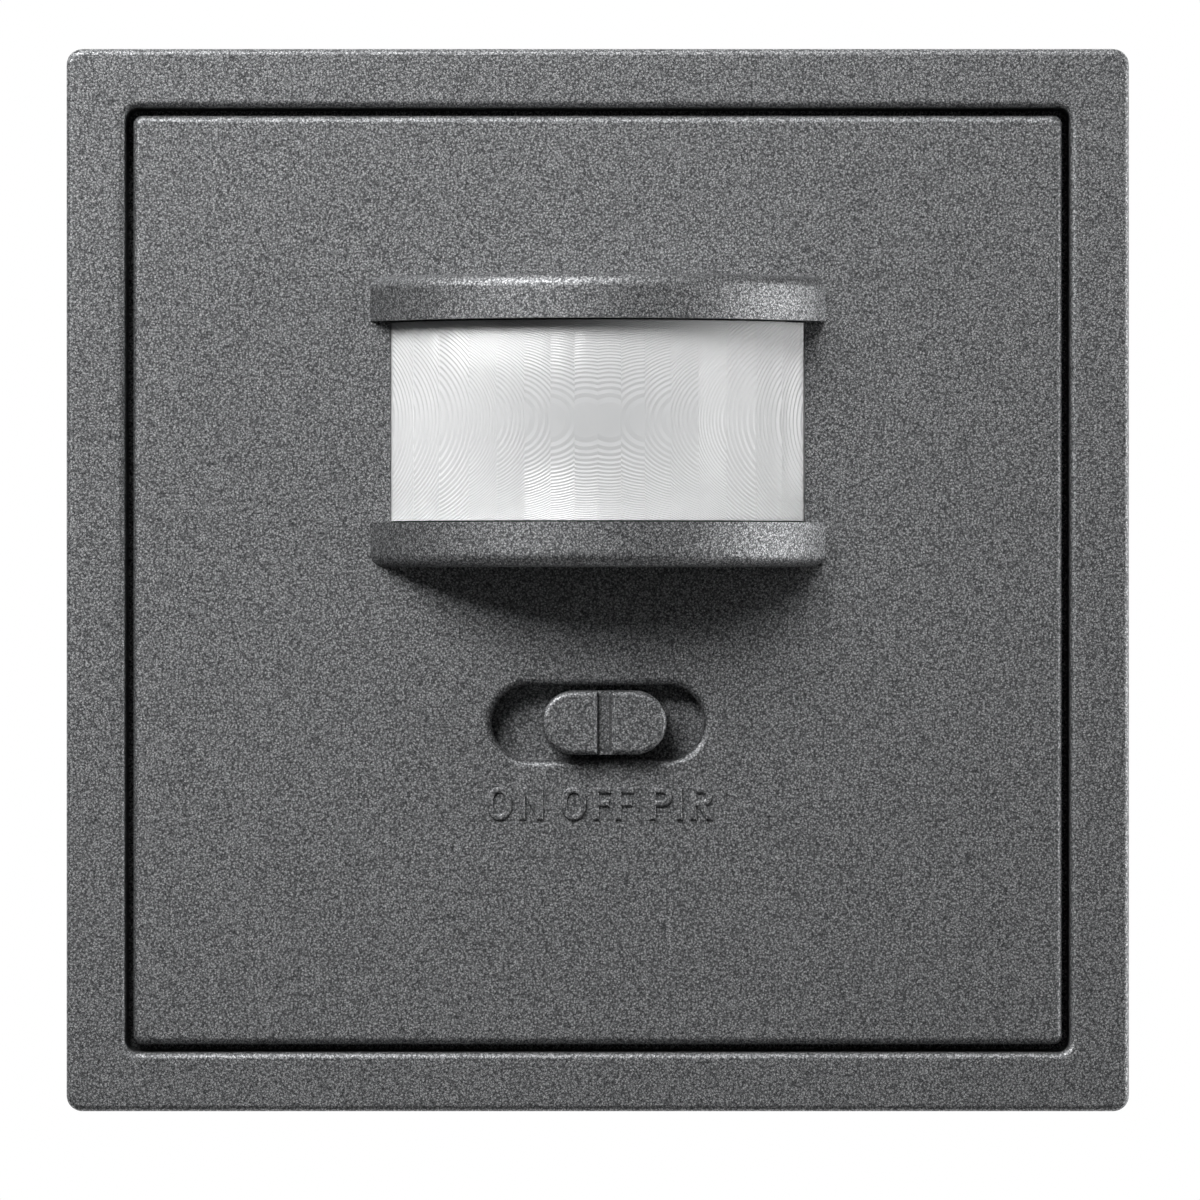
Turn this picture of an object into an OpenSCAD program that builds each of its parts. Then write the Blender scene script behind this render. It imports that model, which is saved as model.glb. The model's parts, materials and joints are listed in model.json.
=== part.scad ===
// Motion sensor light switch for a flush wall box: square cover with a hooded infrared lens and a
// three-position slide, sensor board on a carrier, steel support ring, insert with relay and terminals.
// Millimetres. X runs to the right, Y into the wall, Z up. The wall plane is Y = 0.

/* [Frame] */
// Outer width and height of the square frame
frame_w = 81; // [80:0.5:86]
// Distance from the wall to the front face
frame_d = 11; // [10.8:0.1:12]
// Visible width of the frame's rim
rim_w = 4.5; // [4.2:0.1:5]
// Radius of the frame's outer corners
frame_corner_r = 1.2; // [0.8:0.1:2.5]
// Radius of the corners of the frame's opening
opening_corner_r = 0.9; // [0.6:0.1:1.5]
// Rounding of the frame's front edges, outside and at the opening
frame_edge_r = 0.5; // [0.3:0.05:0.6]
// Thickness of the frame's front
frame_front_t = 1.8; // [1.4:0.1:2.2]
// Thickness of the frame's outer wall
frame_wall = 1.6; // [1.2:0.1:1.8]
// Thickness of the frame's inner wall
frame_inner_wall = 1.3; // [1:0.1:1.4]
// How far the ledge reaches inwards from the opening
ledge_w = 3; // [2.4:0.1:3.2]
// Thickness of the ledge
ledge_t = 1.4; // [1:0.1:1.6]
// Depth of the ledge behind the front face
ledge_depth = 4.8; // [4.4:0.1:5.2]
// Thickness of the lip that stands on the support ring
lip_t = 1.4; // [1:0.1:1.8]

/* [Cover] */
// Gap between the cover and the frame
cover_gap = 0.6; // [0.4:0.05:0.8]
// Radius of the cover's corners
cover_corner_r = 0.7; // [0.6:0.05:1.5]
// Rounding of the cover's front edges and of the slide opening's rim
cover_edge_r = 0.55; // [0.3:0.05:0.6]
// Thickness of the cover plate
cover_t = 2.4; // [2.2:0.1:2.5]
// Thickness of the cover's skirt
skirt_t = 1.5; // [1.2:0.1:1.8]
// Height of each snap leg's centre above or below the middle
leg_z = 14; // [12:0.5:16]
// Width of a snap leg
leg_w = 5.6; // [4:0.2:7]
// Thickness of a snap leg
leg_t = 1.2; // [1:0.1:1.4]
// How far a snap leg's barb stands out
barb_out = 1; // [0.8:0.1:1.2]
// Height of a snap leg's barb
barb_h = 1; // [0.8:0.1:1.1]

/* [Hood and lens] */
// Height of the lens centre above the middle of the plate
hood_z = 12.05; // [11:0.05:13]
// Width of the hood where it meets the cover
hood_w = 34.7; // [32:0.1:36]
// How far the hood stands out from the cover
hood_out = 9.5; // [8:0.1:12]
// Thickness of each brim of the hood
brim_t = 3.4; // [3:0.1:4]
// Rounding of each brim's outer edge
brim_edge_r = 1; // [0.6:0.1:1.4]
// How far the brims reach past the lens
brim_over = 1.4; // [1:0.1:2]
// Wall of the hollow in each brim
brim_wall = 1.1; // [0.9:0.1:1.3]
// Height of the lens between the brims
lens_h = 15.34; // [14:0.02:16]
// Thickness of the lens sheet
lens_t = 0.6; // [0.5:0.05:0.9]
// Gap between the lens and the cover
lens_gap = 0.1; // [0.08:0.01:0.2]
// Number of narrow lens columns on each side of the middle
narrow_columns = 4; // [2:1:5]
// Angle of a narrow lens column
narrow_angle = 5.65; // [4.5:0.05:6]
// Number of wide lens columns on each side
wide_columns = 4; // [2:1:4]
// Angle of a wide lens column
wide_angle = 7.9; // [6:0.1:8.5]
// Thickness of the lens flange
flange_t = 0.8; // [0.6:0.1:1]
// Reach of the lens flange beside the hood
flange_side = 4; // [3.6:0.1:4.6]
// Reach of the lens flange above and below the lens
flange_top = 3; // [2.6:0.1:3.4]
// Radius of the stakes that hold the lens
stake_r = 0.8; // [0.6:0.05:0.9]
// Radius of a stake's head
stake_head_r = 1.3; // [1.1:0.1:1.4]
// Height of a stake's head
stake_head_t = 0.6; // [0.4:0.1:0.7]

/* [Mode slide] */
// Height of the slide's centre, below the middle of the plate
slide_z = -10.85; // [-11.5:0.05:-10.5]
// Length of the slide opening
slot_len = 16.2; // [15.6:0.1:17]
// Width of the slide opening
slot_width = 5.7; // [5.5:0.1:6]
// Length of the knob
knob_len = 9.5; // [8.6:0.1:9.5]
// Width of the knob
knob_width = 4.86; // [4.4:0.02:5]
// Rounding of the knob's front edge
knob_edge_r = 0.4; // [0.2:0.05:0.6]
// How far the knob stands out from the cover
knob_proud = 1.9; // [1.6:0.1:2.2]
// Width of the grip groove across the knob
groove_w = 1.1; // [0.8:0.1:1.4]
// Depth of the grip groove
groove_d = 0.7; // [0.5:0.1:1]
// Chamfer along both edges of the grip groove
groove_chamfer = 0.15; // [0.1:0.05:0.2]
// Travel from the middle position to each end
knob_travel = 3; // [2.8:0.05:3]
// Where the knob stands at rest, right of the middle
knob_rest_x = 0.48; // [0:0.02:0.5]
// Thickness of the slide's base plate
base_t = 0.8; // [0.7:0.05:0.85]
// Overlap of the base plate past the opening's ends
base_lap = 0.65; // [0.5:0.05:0.9]
// Overlap of the base plate past the opening's sides
base_lip = 1.4; // [1.2:0.1:1.6]
// Width of the rails that hold the base plate
rail_w = 1.2; // [1:0.1:1.4]
// Overlap of a rail's lip behind the base plate
rail_lip = 0.8; // [0.6:0.1:1]
// Thickness of a rail's lip
rail_t = 0.7; // [0.6:0.05:0.75]
// Thickness of each prong of the fork
prong_t = 1.2; // [0.9:0.1:1.4]
// Height of the fork's prongs
prong_h = 3.2; // [2.4:0.1:3.4]

/* [Slide switch] */
// Length of the switch can
switch_len = 14; // [13.4:0.1:15]
// Width of the switch can
switch_width = 6; // [5.8:0.1:6.4]
// Height of the switch can above the board
switch_h = 2.6; // [2.5:0.05:2.65]
// Sheet thickness of the switch can
switch_sheet_t = 0.35; // [0.3:0.05:0.4]
// Width and height of the actuator's stem
actuator_w = 2; // [1.8:0.1:2.2]
// Length of the actuator's foot inside the can
actuator_foot_len = 5; // [4.6:0.1:5.4]
// Thickness of the switch base
switch_base_t = 0.8; // [0.7:0.05:0.9]
// Thickness of a contact pad
contact_t = 0.2; // [0.15:0.05:0.25]
// Width of a contact leg
contact_leg_w = 0.6; // [0.5:0.05:0.7]
// Thickness of the wiper strip
wiper_t = 0.2; // [0.15:0.05:0.25]

/* [Sensor board] */
// Distance from the carrier's edge to the sensor board: room for walls, snap legs and catches
board_margin = 6; // [5.8:0.1:6.4]
// Thickness of both circuit boards
board_t = 1.6; // [1.4:0.1:1.6]
// How far leads stand out behind the sensor board
lead_tail = 0.7; // [0.5:0.1:0.9]
// Length of the control chip
chip_len = 9.9; // [8:0.1:10.5]
// Width of the control chip's body
chip_width = 3.9; // [3.5:0.1:4.2]
// Height of the control chip
chip_h = 1.5; // [1:0.1:1.8]
// Number of leads on each side of the control chip
chip_leads = 7; // [4:1:7]
// Length of a small chip part
smd_len = 2; // [1.6:0.1:2.2]
// Width of a small chip part
smd_width = 1.25; // [0.8:0.05:1.4]
// Height of a small chip part
smd_h = 0.7; // [0.4:0.1:1]
// Radius of the light sensor
light_r = 2.5; // [2:0.1:2.8]
// Height of the light sensor above the board
light_h = 2; // [1.6:0.1:2.4]
// Where the light sensor sits, right of the middle
light_x = 10.5; // [9:0.5:11]

/* [Detector] */
// Radius of the detector can
can_r = 4.1; // [3.8:0.05:4.3]
// Radius of the detector can's flange
can_flange_r = 4.55; // [4.4:0.05:4.8]
// Height of the detector can above the board
can_h = 4.4; // [4:0.1:4.6]
// Sheet thickness of the detector can
can_t = 0.3; // [0.25:0.05:0.4]
// Width of the opening in the detector can
window_w = 4.2; // [3.6:0.1:4.4]
// Height of the opening in the detector can
window_h = 3.2; // [2.6:0.1:3.4]
// Overlap of the window pane past the opening
window_lap = 0.3; // [0.2:0.05:0.35]
// Thickness of the window pane
window_t = 0.4; // [0.3:0.05:0.5]
// Thickness of the detector's base
header_t = 0.9; // [0.7:0.05:1.1]
// Radius of the circle of detector leads
lead_circle_r = 2.54; // [2.2:0.02:2.7]
// Radius of a round lead
lead_r = 0.23; // [0.2:0.01:0.25]

/* [Trimmers] */
// Gap between each trimmer and the slide switch, counted sideways
trimmer_gap = 0.2; // [0.2:0.1:2]
// Distance of the trimmers' centres from the board's lower edge
trimmer_edge = 5.6; // [5:0.1:5.8]
// Width and height of a trimmer body
trimmer_w = 6.6; // [6.2:0.1:7]
// Depth of a trimmer body
trimmer_h = 2.6; // [2.2:0.1:2.7]
// Radius of a trimmer's rotor
rotor_r = 2.6; // [2.3:0.1:2.8]
// Thickness of a rotor's disc
rotor_t = 0.7; // [0.6:0.05:0.8]
// Radius of a rotor's pin
rotor_pin_r = 1; // [0.8:0.05:1.2]
// Length of a rotor's pin
rotor_pin_len = 1.4; // [1:0.1:1.6]
// Width of the driver slot in a rotor
rotor_slot_w = 0.7; // [0.5:0.05:0.9]
// Depth of the driver slot in a rotor
rotor_slot_d = 0.4; // [0.3:0.05:0.5]

/* [Carrier] */
// Gap between the carrier plate and the frame's lip
carrier_gap = 2; // [1.8:0.1:2.3]
// Radius of the carrier plate's corners
carrier_corner_r = 2; // [1:0.1:3]
// Thickness of the carrier plate
carrier_t = 1.4; // [1.2:0.1:1.5]
// Thickness of the walls around the sensor board
carrier_wall = 1.4; // [1:0.1:1.5]
// Height of the walls around the sensor board
carrier_wall_h = 3; // [2.8:0.1:3.2]
// Overlap of the hooks in front of the sensor board
hook_lap = 0.6; // [0.4:0.05:0.8]
// Width of a hook
hook_w = 6; // [4:0.5:8]
// Thickness of a hook
hook_t = 0.75; // [0.6:0.05:0.75]
// Thickness of the catches that hold the cover's snap legs
catch_t = 1.5; // [1.2:0.1:1.6]
// Height of the catches above the carrier plate
catch_h = 3; // [2.8:0.1:3.2]
// Distance from the insert's outside to the passage in the middle of the carrier and the ring
passage_edge = 7.5; // [7.4:0.1:8.5]
// Half width of the notches for the box screw heads
notch_half = 4.4; // [4:0.1:5]

/* [Support ring] */
// Distance from the frame's outer edge to the support ring
ring_inset = 5; // [4.6:0.1:5.2]
// Thickness of the support ring
ring_t = 1.2; // [1:0.1:1.5]
// Radius of the support ring's corners
ring_corner_r = 4; // [2:0.5:6]
// Distance between the box screws
box_spacing = 60; // [59:0.1:60.3]
// Length of a box screw slot
box_slot_len = 6; // [5:0.1:6]
// Width of a box screw slot
box_slot_width = 3.6; // [3.4:0.1:4]
// Offset of the corner cut-outs from the middle
corner_cut_pos = 28; // [27.5:0.1:28.2]
// Radius of the corner cut-outs
corner_cut_r = 2; // [1.6:0.1:2.2]

/* [Insert] */
// Outer radius of the insert housing
insert_r = 25.5; // [25.4:0.1:27]
// Depth of the insert housing behind the wall plane
insert_d = 26; // [25.5:0.1:30]
// Wall of the insert housing
insert_wall = 1.6; // [1.4:0.1:1.6]
// Rounding of the insert housing's back edge
insert_edge_r = 2; // [1:0.1:3]
// Distance of the assembly screws from the insert's outside
screw_inset = 3.58; // [3.4:0.02:3.8]
// Radius of the assembly screws
screw_r = 1.45; // [1.2:0.05:1.5]
// Radius of an assembly screw's flat head
screw_head_r = 2.7; // [2.4:0.1:2.8]
// Height of a screw head
screw_head_t = 0.8; // [0.6:0.1:0.9]
// Width of the driver slot in a screw head
screw_slot_w = 0.6; // [0.4:0.05:0.8]
// Depth of the driver slot in a screw head
screw_slot_d = 0.4; // [0.3:0.05:0.5]
// Length of an assembly screw
screw_len = 11; // [9:0.5:12]
// Radius of the bosses for the assembly screws
boss_r = 3.2; // [2.8:0.1:3.3]
// Width of the ribs that carry the power board
rib_w = 3; // [2:0.2:3.6]
// Reach of the ribs inwards from the wall
rib_in = 1.5; // [1.2:0.1:1.6]

/* [Power board] */
// Front face of the power board behind the wall plane
power_y = 6.5; // [6:0.1:6.8]
// Length of the relay
relay_len = 18.4; // [17:0.1:18.6]
// Width of the relay
relay_width = 10.2; // [9.5:0.1:10.3]
// Gap between the relay and the housing's floor
relay_gap = 1; // [0.5:0.1:4]
// Distance from the relay's upper edge to the housing's inside, straight up
relay_room = 4.1; // [3.9:0.1:4.5]
// Length of the mains capacitor
film_len = 13; // [11:0.1:13]
// Width of the mains capacitor
film_width = 6; // [5:0.1:6.5]
// Height of the mains capacitor
film_h = 12; // [10:0.1:14]
// Distance from the mains capacitor's outer end to the housing's inside, straight across
film_room = 3.9; // [3.3:0.1:4.5]
// Gap between the mains capacitor and the relay, counted upwards
film_gap = 2.6; // [2:0.1:2.8]
// Radius of the smoothing capacitor
smooth_r = 4; // [3.2:0.1:4.2]
// Height of the smoothing capacitor
smooth_h = 11.5; // [9:0.1:14]
// Where the smoothing capacitor stands, right of the middle
smooth_x = 12.5; // [11:0.1:13.5]
// Height of the smoothing capacitor's axis above the middle
smooth_z = 3.8; // [3.6:0.1:4.6]
// Radius of the varistor disc
varistor_r = 4.5; // [3.5:0.1:4.5]
// Thickness of the varistor disc
varistor_t = 4; // [3:0.1:4.2]
// Where the varistor stands, left of the middle
varistor_x = -14.5; // [-15:0.1:-13]
// Height of the varistor's middle, below the middle
varistor_z = -4; // [-5:0.1:-3]
// Radius of the fuse
fuse_r = 4.1; // [3.8:0.1:4.2]
// Height of the fuse
fuse_h = 8; // [6:0.1:9]
// Where the fuse stands, right of the middle
fuse_x = 14; // [13:0.1:14.5]
// Height of the fuse's axis, below the middle
fuse_z = -6; // [-6.5:0.1:-5.5]
// Width of the rectifier
rectifier_w = 8; // [6:0.1:8.4]
// Height of the rectifier above the board
rectifier_h = 2.6; // [2:0.1:3]
// Height of the rectifier's middle, below the middle
rectifier_z = -5; // [-6:0.1:-4.5]
// Spacing of the connector pins
pin_pitch = 2.54; // [2.5:0.01:2.6]
// Number of connector pins in each of the two rows
pin_count = 5; // [3:1:5]
// Width of a connector pin
pin_w = 0.64; // [0.5:0.02:0.7]

/* [Terminals] */
// Spacing of the terminals
terminal_pitch = 5.08; // [5.06:0.01:5.2]
// Width of a terminal body
terminal_w = 5; // [4.8:0.02:5.04]
// Distance from the terminals' lower edge to the housing's inside, straight down
terminal_room = 2.9; // [2.7:0.1:3.1]
// Height of the terminals
terminal_h = 9; // [8.8:0.1:9.2]
// Radius of a wire entry
wire_r = 1.4; // [1.2:0.05:1.45]
// Depth of a wire entry
wire_depth = 8; // [6:0.1:8.4]
// Distance of the wire entries below the terminal's top
wire_drop = 2.9; // [2.8:0.05:3]
// Wall of a terminal body beside its clamp
clamp_wall = 0.5; // [0.4:0.05:0.6]
// Sheet thickness of a wire clamp
clamp_t = 0.7; // [0.6:0.05:0.75]
// Depth of a wire clamp
clamp_d = 5; // [4:0.1:5.4]
// Radius of a terminal screw
terminal_screw_r = 1.1; // [0.9:0.05:1.2]
// Radius of a terminal screw's head
terminal_head_r = 1.7; // [1.5:0.05:1.8]
// Height of a terminal screw's head
terminal_head_t = 1.4; // [1:0.1:1.5]

/* [Clearances] */
// Gap between pieces that are only set side by side
fit_gap = 0.1; // [0.08:0.01:0.12]
// Gap around the moving slide
slide_gap = 0.15; // [0.1:0.01:0.18]
// Radial gap of the rotor pins
rotor_gap = 0.05; // [0.03:0.01:0.08]

/* [Hidden] */
$fn = 64;
fine_fn = 240;
tiny = 0.01;
far = 60;
sides = [-1, 1];
quarters = [0, 90, 180, 270];

// Planes across the depth, from the front to the back
y_front = -frame_d;
y_cover_back = y_front + cover_t;
y_ledge = y_front + ledge_depth;
y_ledge_back = y_ledge + ledge_t;
y_ring = -ring_t;
y_carrier = y_ring - carrier_t;
y_board_back = y_carrier;
y_board = y_board_back - board_t;
y_tail = y_board_back + lead_tail;
y_power_back = power_y + board_t;
y_housing_floor = insert_d - insert_wall;

// Frame and cover
opening_w = frame_w - 2 * rim_w;
ledge_open = opening_w - 2 * ledge_w;
cover_w = opening_w - 2 * cover_gap;
ring_w = frame_w - 2 * ring_inset;

// Hood: one vertical axis for brims and lens
brim_r = (hood_w * hood_w / 4 + hood_out * hood_out) / (2 * hood_out);
arc_y = y_front - hood_out + brim_r;
lens_r = brim_r - brim_over;
lens_bottom = hood_z - lens_h / 2;
lens_top = hood_z + lens_h / 2;
column_count = narrow_columns + wide_columns;
narrow_span = narrow_columns * narrow_angle;
lens_hollow_r = lens_r - lens_t;
flange_x = hood_w / 2 + flange_side;
stake_x = hood_w / 2 + flange_side / 2;
stake_dz = lens_h / 2 + flange_top / 2;
y_flange_back = y_cover_back + flange_t;

// Slide
y_base = y_cover_back + fit_gap;
y_base_back = y_base + base_t;
base_len = slot_len + 2 * knob_travel + 2 * base_lap;
base_width = slot_width + 2 * base_lip;
rail_span = base_width + 2 * slide_gap;
y_knob = y_front - knob_proud;
y_rail_lip = y_base_back + slide_gap;

// Switch
y_can = y_board - switch_h;
y_can_inside = y_can + switch_sheet_t;
y_switch_base = y_board - switch_base_t;
y_contact = y_switch_base - contact_t;
y_wiper = y_contact - rotor_gap - 2 * wiper_t;
y_actuator = y_can_inside + fit_gap;
y_actuator_tip = y_base_back + slide_gap;
can_slot_len = actuator_w + 2 * knob_travel + 2 * slide_gap;
contact_row = [-1.5, -0.5, 0.5, 1.5];

// Carrier and sensor board, inside the frame's lip
carrier_w = ledge_open - 2 * carrier_gap;
board_w = carrier_w - 2 * board_margin;
trimmer_x = switch_len / 2 + trimmer_gap + trimmer_w / 2;
trimmer_z = trimmer_edge - board_w / 2;
wall_in = board_w / 2 + fit_gap;
wall_out = wall_in + carrier_wall;
leg_x = wall_out + 6 * fit_gap;
catch_x = leg_x + leg_t + 4 * fit_gap;
y_catch = y_carrier - catch_h;
y_barb = y_carrier - 2 * barb_h + 2 * fit_gap;

// Insert
insert_in = insert_r - insert_wall;
power_r = insert_in - 4 * fit_gap;
passage_r = insert_r - passage_edge;
screw_pos = (insert_r - screw_inset) * cos(45);
relay_h = y_housing_floor - y_power_back - relay_gap;
relay_z = insert_in - relay_room - relay_width;
film_x = film_room + film_len - insert_in;
film_z = relay_z - film_gap - film_width;
clamp_w = terminal_w - 2 * clamp_wall;
terminal_bottom_z = terminal_room - insert_in;
terminal_top_z = terminal_bottom_z + terminal_h;
wire_z = terminal_top_z - wire_drop;
y_clamp_back = insert_d - wire_depth;
y_clamp = y_clamp_back - clamp_d;
clamp_half = clamp_w / 2 - fit_gap;
clamp_top = wire_z + wire_r + clamp_t + 2 * fit_gap;
clamp_bottom = terminal_bottom_z + terminal_head_t + 2 * fit_gap;
terminal_slots = [-1, 0, 1];
pin_span = (pin_count - 1) * pin_pitch / 2;

// Drawing helpers: a flat shape is drawn in X and Z, then given its depth along Y
module along_y(y0, y1) {
    translate([0, y1, 0])
    rotate([90, 0, 0])
    linear_extrude(y1 - y0)
    children();
}

module bar(x0, x1, y0, y1, z0, z1) {
    translate([x0, y0, z0])
    cube([x1 - x0, y1 - y0, z1 - z0]);
}

module rod_y(x, z, r, y0, y1) {
    translate([x, y1, z])
    rotate([90, 0, 0])
    cylinder(r = r, h = y1 - y0);
}

module round_square(w, r) {
    square([w - 2 * r, w], center = true);
    square([w, w - 2 * r], center = true);
    for (sx = sides, sz = sides)
        translate([sx * (w / 2 - r), sz * (w / 2 - r)])
        circle(r);
}

module racetrack(len, wide) {
    square([len - wide, wide], center = true);
    for (s = sides)
        translate([s * (len - wide) / 2, 0])
        circle(wide / 2);
}

// Square without its corners, for a layer whose edges and corners are added as rounded pieces
module cross_square(w, r, inset) {
    square([w - 2 * r, w - 2 * inset], center = true);
    square([w - 2 * inset, w - 2 * r], center = true);
}

// Quarter of a disc: the section of a rounded edge
module quarter_disc(r) {
    intersection() {
        circle(r);
        square(r);
    }
}

// Rounded edge along X whose round side faces the front and up, at the height z
module edge_run(len, r, y, z) {
    translate([-len / 2, y + r, z])
    rotate([90, 0, 90])
    linear_extrude(len)
    mirror([1, 0])
    quarter_disc(r);
}

// Quarter turn of an outer corner with a rounded front edge
module corner_turn(rc, re, angle) {
    rotate([90, 0, 0])
    rotate_extrude(angle = angle) {
        square([rc - re, re]);
        translate([rc - re, 0])
        quarter_disc(re);
    }
}

// Turn of the rim around a hole with a rounded front edge, filled outwards
module rim_turn(ri, re, angle) {
    rotate([90, 0, 0])
    rotate_extrude(angle = angle) {
        intersection() {
            translate([ri + re, 0])
            circle(re);
            translate([ri, 0])
            square(re);
        }
        translate([ri + re, 0])
        square([ri + re, re]);
    }
}

// The rounded outer edge of a square plate whose front lies at y
module square_edge(w, rc, re, y) {
    for (a = quarters)
        rotate([0, a, 0]) {
            edge_run(w - 2 * rc, re, y, w / 2 - re);
            translate([w / 2 - rc, y + re, w / 2 - rc])
            corner_turn(rc, re, 90);
        }
}

// The rounded edge of a square hole in a plate whose front lies at y
module square_hole_edge(w, ri, re, y) {
    for (a = quarters)
        rotate([0, a, 0]) {
            mirror([0, 0, 1])
            edge_run(w - 2 * ri, re, y, -w / 2 - re);
            intersection() {
                translate([w / 2 - ri, y + re, w / 2 - ri])
                rim_turn(ri, re, 90);
                bar(w / 2 - ri, w / 2 + re, y, y + re, w / 2 - ri, w / 2 + re);
            }
        }
}

// The rounded edge of the slide opening
module slot_edge(len, wide, re, y) {
    for (s = [0, 1])
        mirror([0, 0, s])
        mirror([0, 0, 1])
        edge_run(len - wide, re, y, -wide / 2 - re);
    for (s = [0, 1])
        mirror([s, 0, 0])
        intersection() {
            translate([(len - wide) / 2, y + re, 0])
            rotate([0, 90, 0])
            rim_turn(wide / 2, re, 180);
            bar((len - wide) / 2, len / 2 + re, y, y + re, -wide / 2 - re, wide / 2 + re);
        }
}

// Frame around the cover: rim, walls, ledge under the cover and lip on the ring
module cover_frame() {
    y_layer = y_front + frame_edge_r;
    y_rim_back = y_front + frame_front_t;
    color("dimgray") {
        along_y(y_front, y_layer)
        difference() {
            cross_square(frame_w, frame_corner_r, frame_edge_r);
            square(opening_w + 2 * frame_edge_r, center = true);
        }
        square_edge(frame_w, frame_corner_r, frame_edge_r, y_front);
        square_hole_edge(opening_w, opening_corner_r, frame_edge_r, y_front);
        along_y(y_layer, y_rim_back)
        difference() {
            round_square(frame_w, frame_corner_r);
            round_square(opening_w, opening_corner_r);
        }
        along_y(y_rim_back, 0)
        difference() {
            round_square(frame_w, frame_corner_r);
            square(frame_w - 2 * frame_wall, center = true);
        }
        along_y(y_rim_back, y_ledge_back)
        difference() {
            square(opening_w + 2 * frame_inner_wall, center = true);
            round_square(opening_w, opening_corner_r);
        }
        along_y(y_ledge, y_ledge_back)
        difference() {
            square(opening_w + 2 * frame_inner_wall, center = true);
            square(ledge_open, center = true);
        }
        along_y(y_ledge_back, y_ring)
        difference() {
            square(ledge_open + 2 * lip_t, center = true);
            square(ledge_open, center = true);
        }
    }
}

// One brim of the hood, its rounded edge upwards, standing on z
module brim(z) {
    intersection() {
        translate([0, arc_y, z])
        rotate_extrude() {
            square([brim_r - brim_edge_r, brim_t]);
            square([brim_r, brim_t - brim_edge_r]);
            translate([brim_r - brim_edge_r, brim_t - brim_edge_r])
            circle(brim_edge_r);
        }
        bar(-far, far, -far, y_front + cover_edge_r, z, z + brim_t);
    }
}

// The hollow inside a brim, open at the back of the cover
module brim_hollow(z) {
    translate([0, arc_y, z + brim_wall])
    cylinder(r = brim_r - brim_wall, h = brim_t - 2 * brim_wall);
}

// One snap leg of the cover, its barb towards the carrier's catch
module snap_leg() {
    bar(leg_x, leg_x + leg_t, y_cover_back - tiny, y_carrier - fit_gap, -leg_w / 2, leg_w / 2);
    bar(leg_x, leg_x + leg_t + barb_out, y_barb, y_barb + barb_h, -leg_w / 2, leg_w / 2);
}

// Square cover with the hood, the lens window and the slide opening
module sensor_cover() {
    y_layer = y_front + cover_edge_r;
    color("dimgray")
    difference() {
        union() {
            along_y(y_front, y_layer)
            difference() {
                cross_square(cover_w, cover_corner_r, cover_edge_r);
                translate([0, slide_z])
                square([slot_len + 2 * cover_edge_r, slot_width + 2 * cover_edge_r], center = true);
            }
            square_edge(cover_w, cover_corner_r, cover_edge_r, y_front);
            translate([0, 0, slide_z])
            slot_edge(slot_len, slot_width, cover_edge_r, y_front);
            along_y(y_layer, y_cover_back)
            difference() {
                round_square(cover_w, cover_corner_r);
                translate([0, slide_z])
                racetrack(slot_len, slot_width);
            }
            along_y(y_cover_back, y_ledge)
            difference() {
                round_square(cover_w, cover_corner_r);
                square(cover_w - 2 * skirt_t, center = true);
            }
            brim(lens_top);
            translate([0, 0, 2 * hood_z])
            mirror([0, 0, 1])
            brim(lens_top);
            for (sx = [0, 1], sz = sides)
                mirror([sx, 0, 0])
                translate([0, 0, sz * leg_z])
                snap_leg();
            slide_rails();
        }
        translate([0, arc_y, lens_bottom])
        cylinder(r = lens_r + lens_gap, h = lens_h);
        brim_hollow(lens_top);
        brim_hollow(lens_bottom - brim_t);
    }
    color("dimgray")
    lens_stakes();
}

// Rails behind the cover that hold the slide's base plate
module slide_rails() {
    z_in = rail_span / 2;
    half = base_len / 2;
    for (s = [0, 1])
        translate([0, 0, slide_z])
        mirror([0, 0, s]) {
            bar(-half, half, y_cover_back, y_rail_lip + rail_t, z_in, z_in + rail_w);
            bar(-half, half, y_rail_lip, y_rail_lip + rail_t, z_in - rail_lip, z_in + rail_w);
        }
}

// Stakes on the cover's back, headed over behind the lens flange
module lens_stakes() {
    for (sx = sides, sz = sides) {
        rod_y(sx * stake_x, hood_z + sz * stake_dz, stake_r, y_cover_back - tiny, y_flange_back);
        rod_y(sx * stake_x, hood_z + sz * stake_dz, stake_head_r, y_flange_back,
            y_flange_back + stake_head_t);
    }
}

// Angle of a column's edge, counted from the middle of the lens
function column_edge(n) =
    n <= narrow_columns ? n * narrow_angle : narrow_span + (n - narrow_columns) * wide_angle;

// A point on the lens hollow's outline at an angle from the middle of the lens
function hollow_point(angle) = [lens_hollow_r * sin(angle), -lens_hollow_r * cos(angle)];

// Outline of the lens hollow: one flat for each column, so every column is its own pane
module lens_hollow() {
    right = [for (n = [0 : column_count]) hollow_point(column_edge(n))];
    left = [for (n = [column_count : -1 : 1]) hollow_point(-column_edge(n))];
    polygon(concat([[-lens_hollow_r, 0]], left, right, [[lens_hollow_r, 0]]));
}

// Curved lens of flat-backed columns with a flange behind the cover
module sensor_lens() {
    flange_h = lens_h + 2 * flange_top;
    color("white")
    difference() {
        union() {
            intersection() {
                translate([0, arc_y, lens_bottom + lens_gap])
                cylinder(r = lens_r, h = lens_h - 2 * lens_gap, $fn = fine_fn);
                bar(-far, far, -far, y_flange_back, lens_bottom, lens_top);
            }
            bar(-flange_x, flange_x, y_cover_back, y_flange_back, hood_z - flange_h / 2,
                hood_z + flange_h / 2);
        }
        translate([0, arc_y, lens_bottom])
        linear_extrude(lens_h)
        lens_hollow();
        for (sx = sides, sz = sides)
            rod_y(sx * stake_x, hood_z + sz * stake_dz, stake_r + fit_gap, y_cover_back - 1,
                y_flange_back + 1);
    }
}

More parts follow.
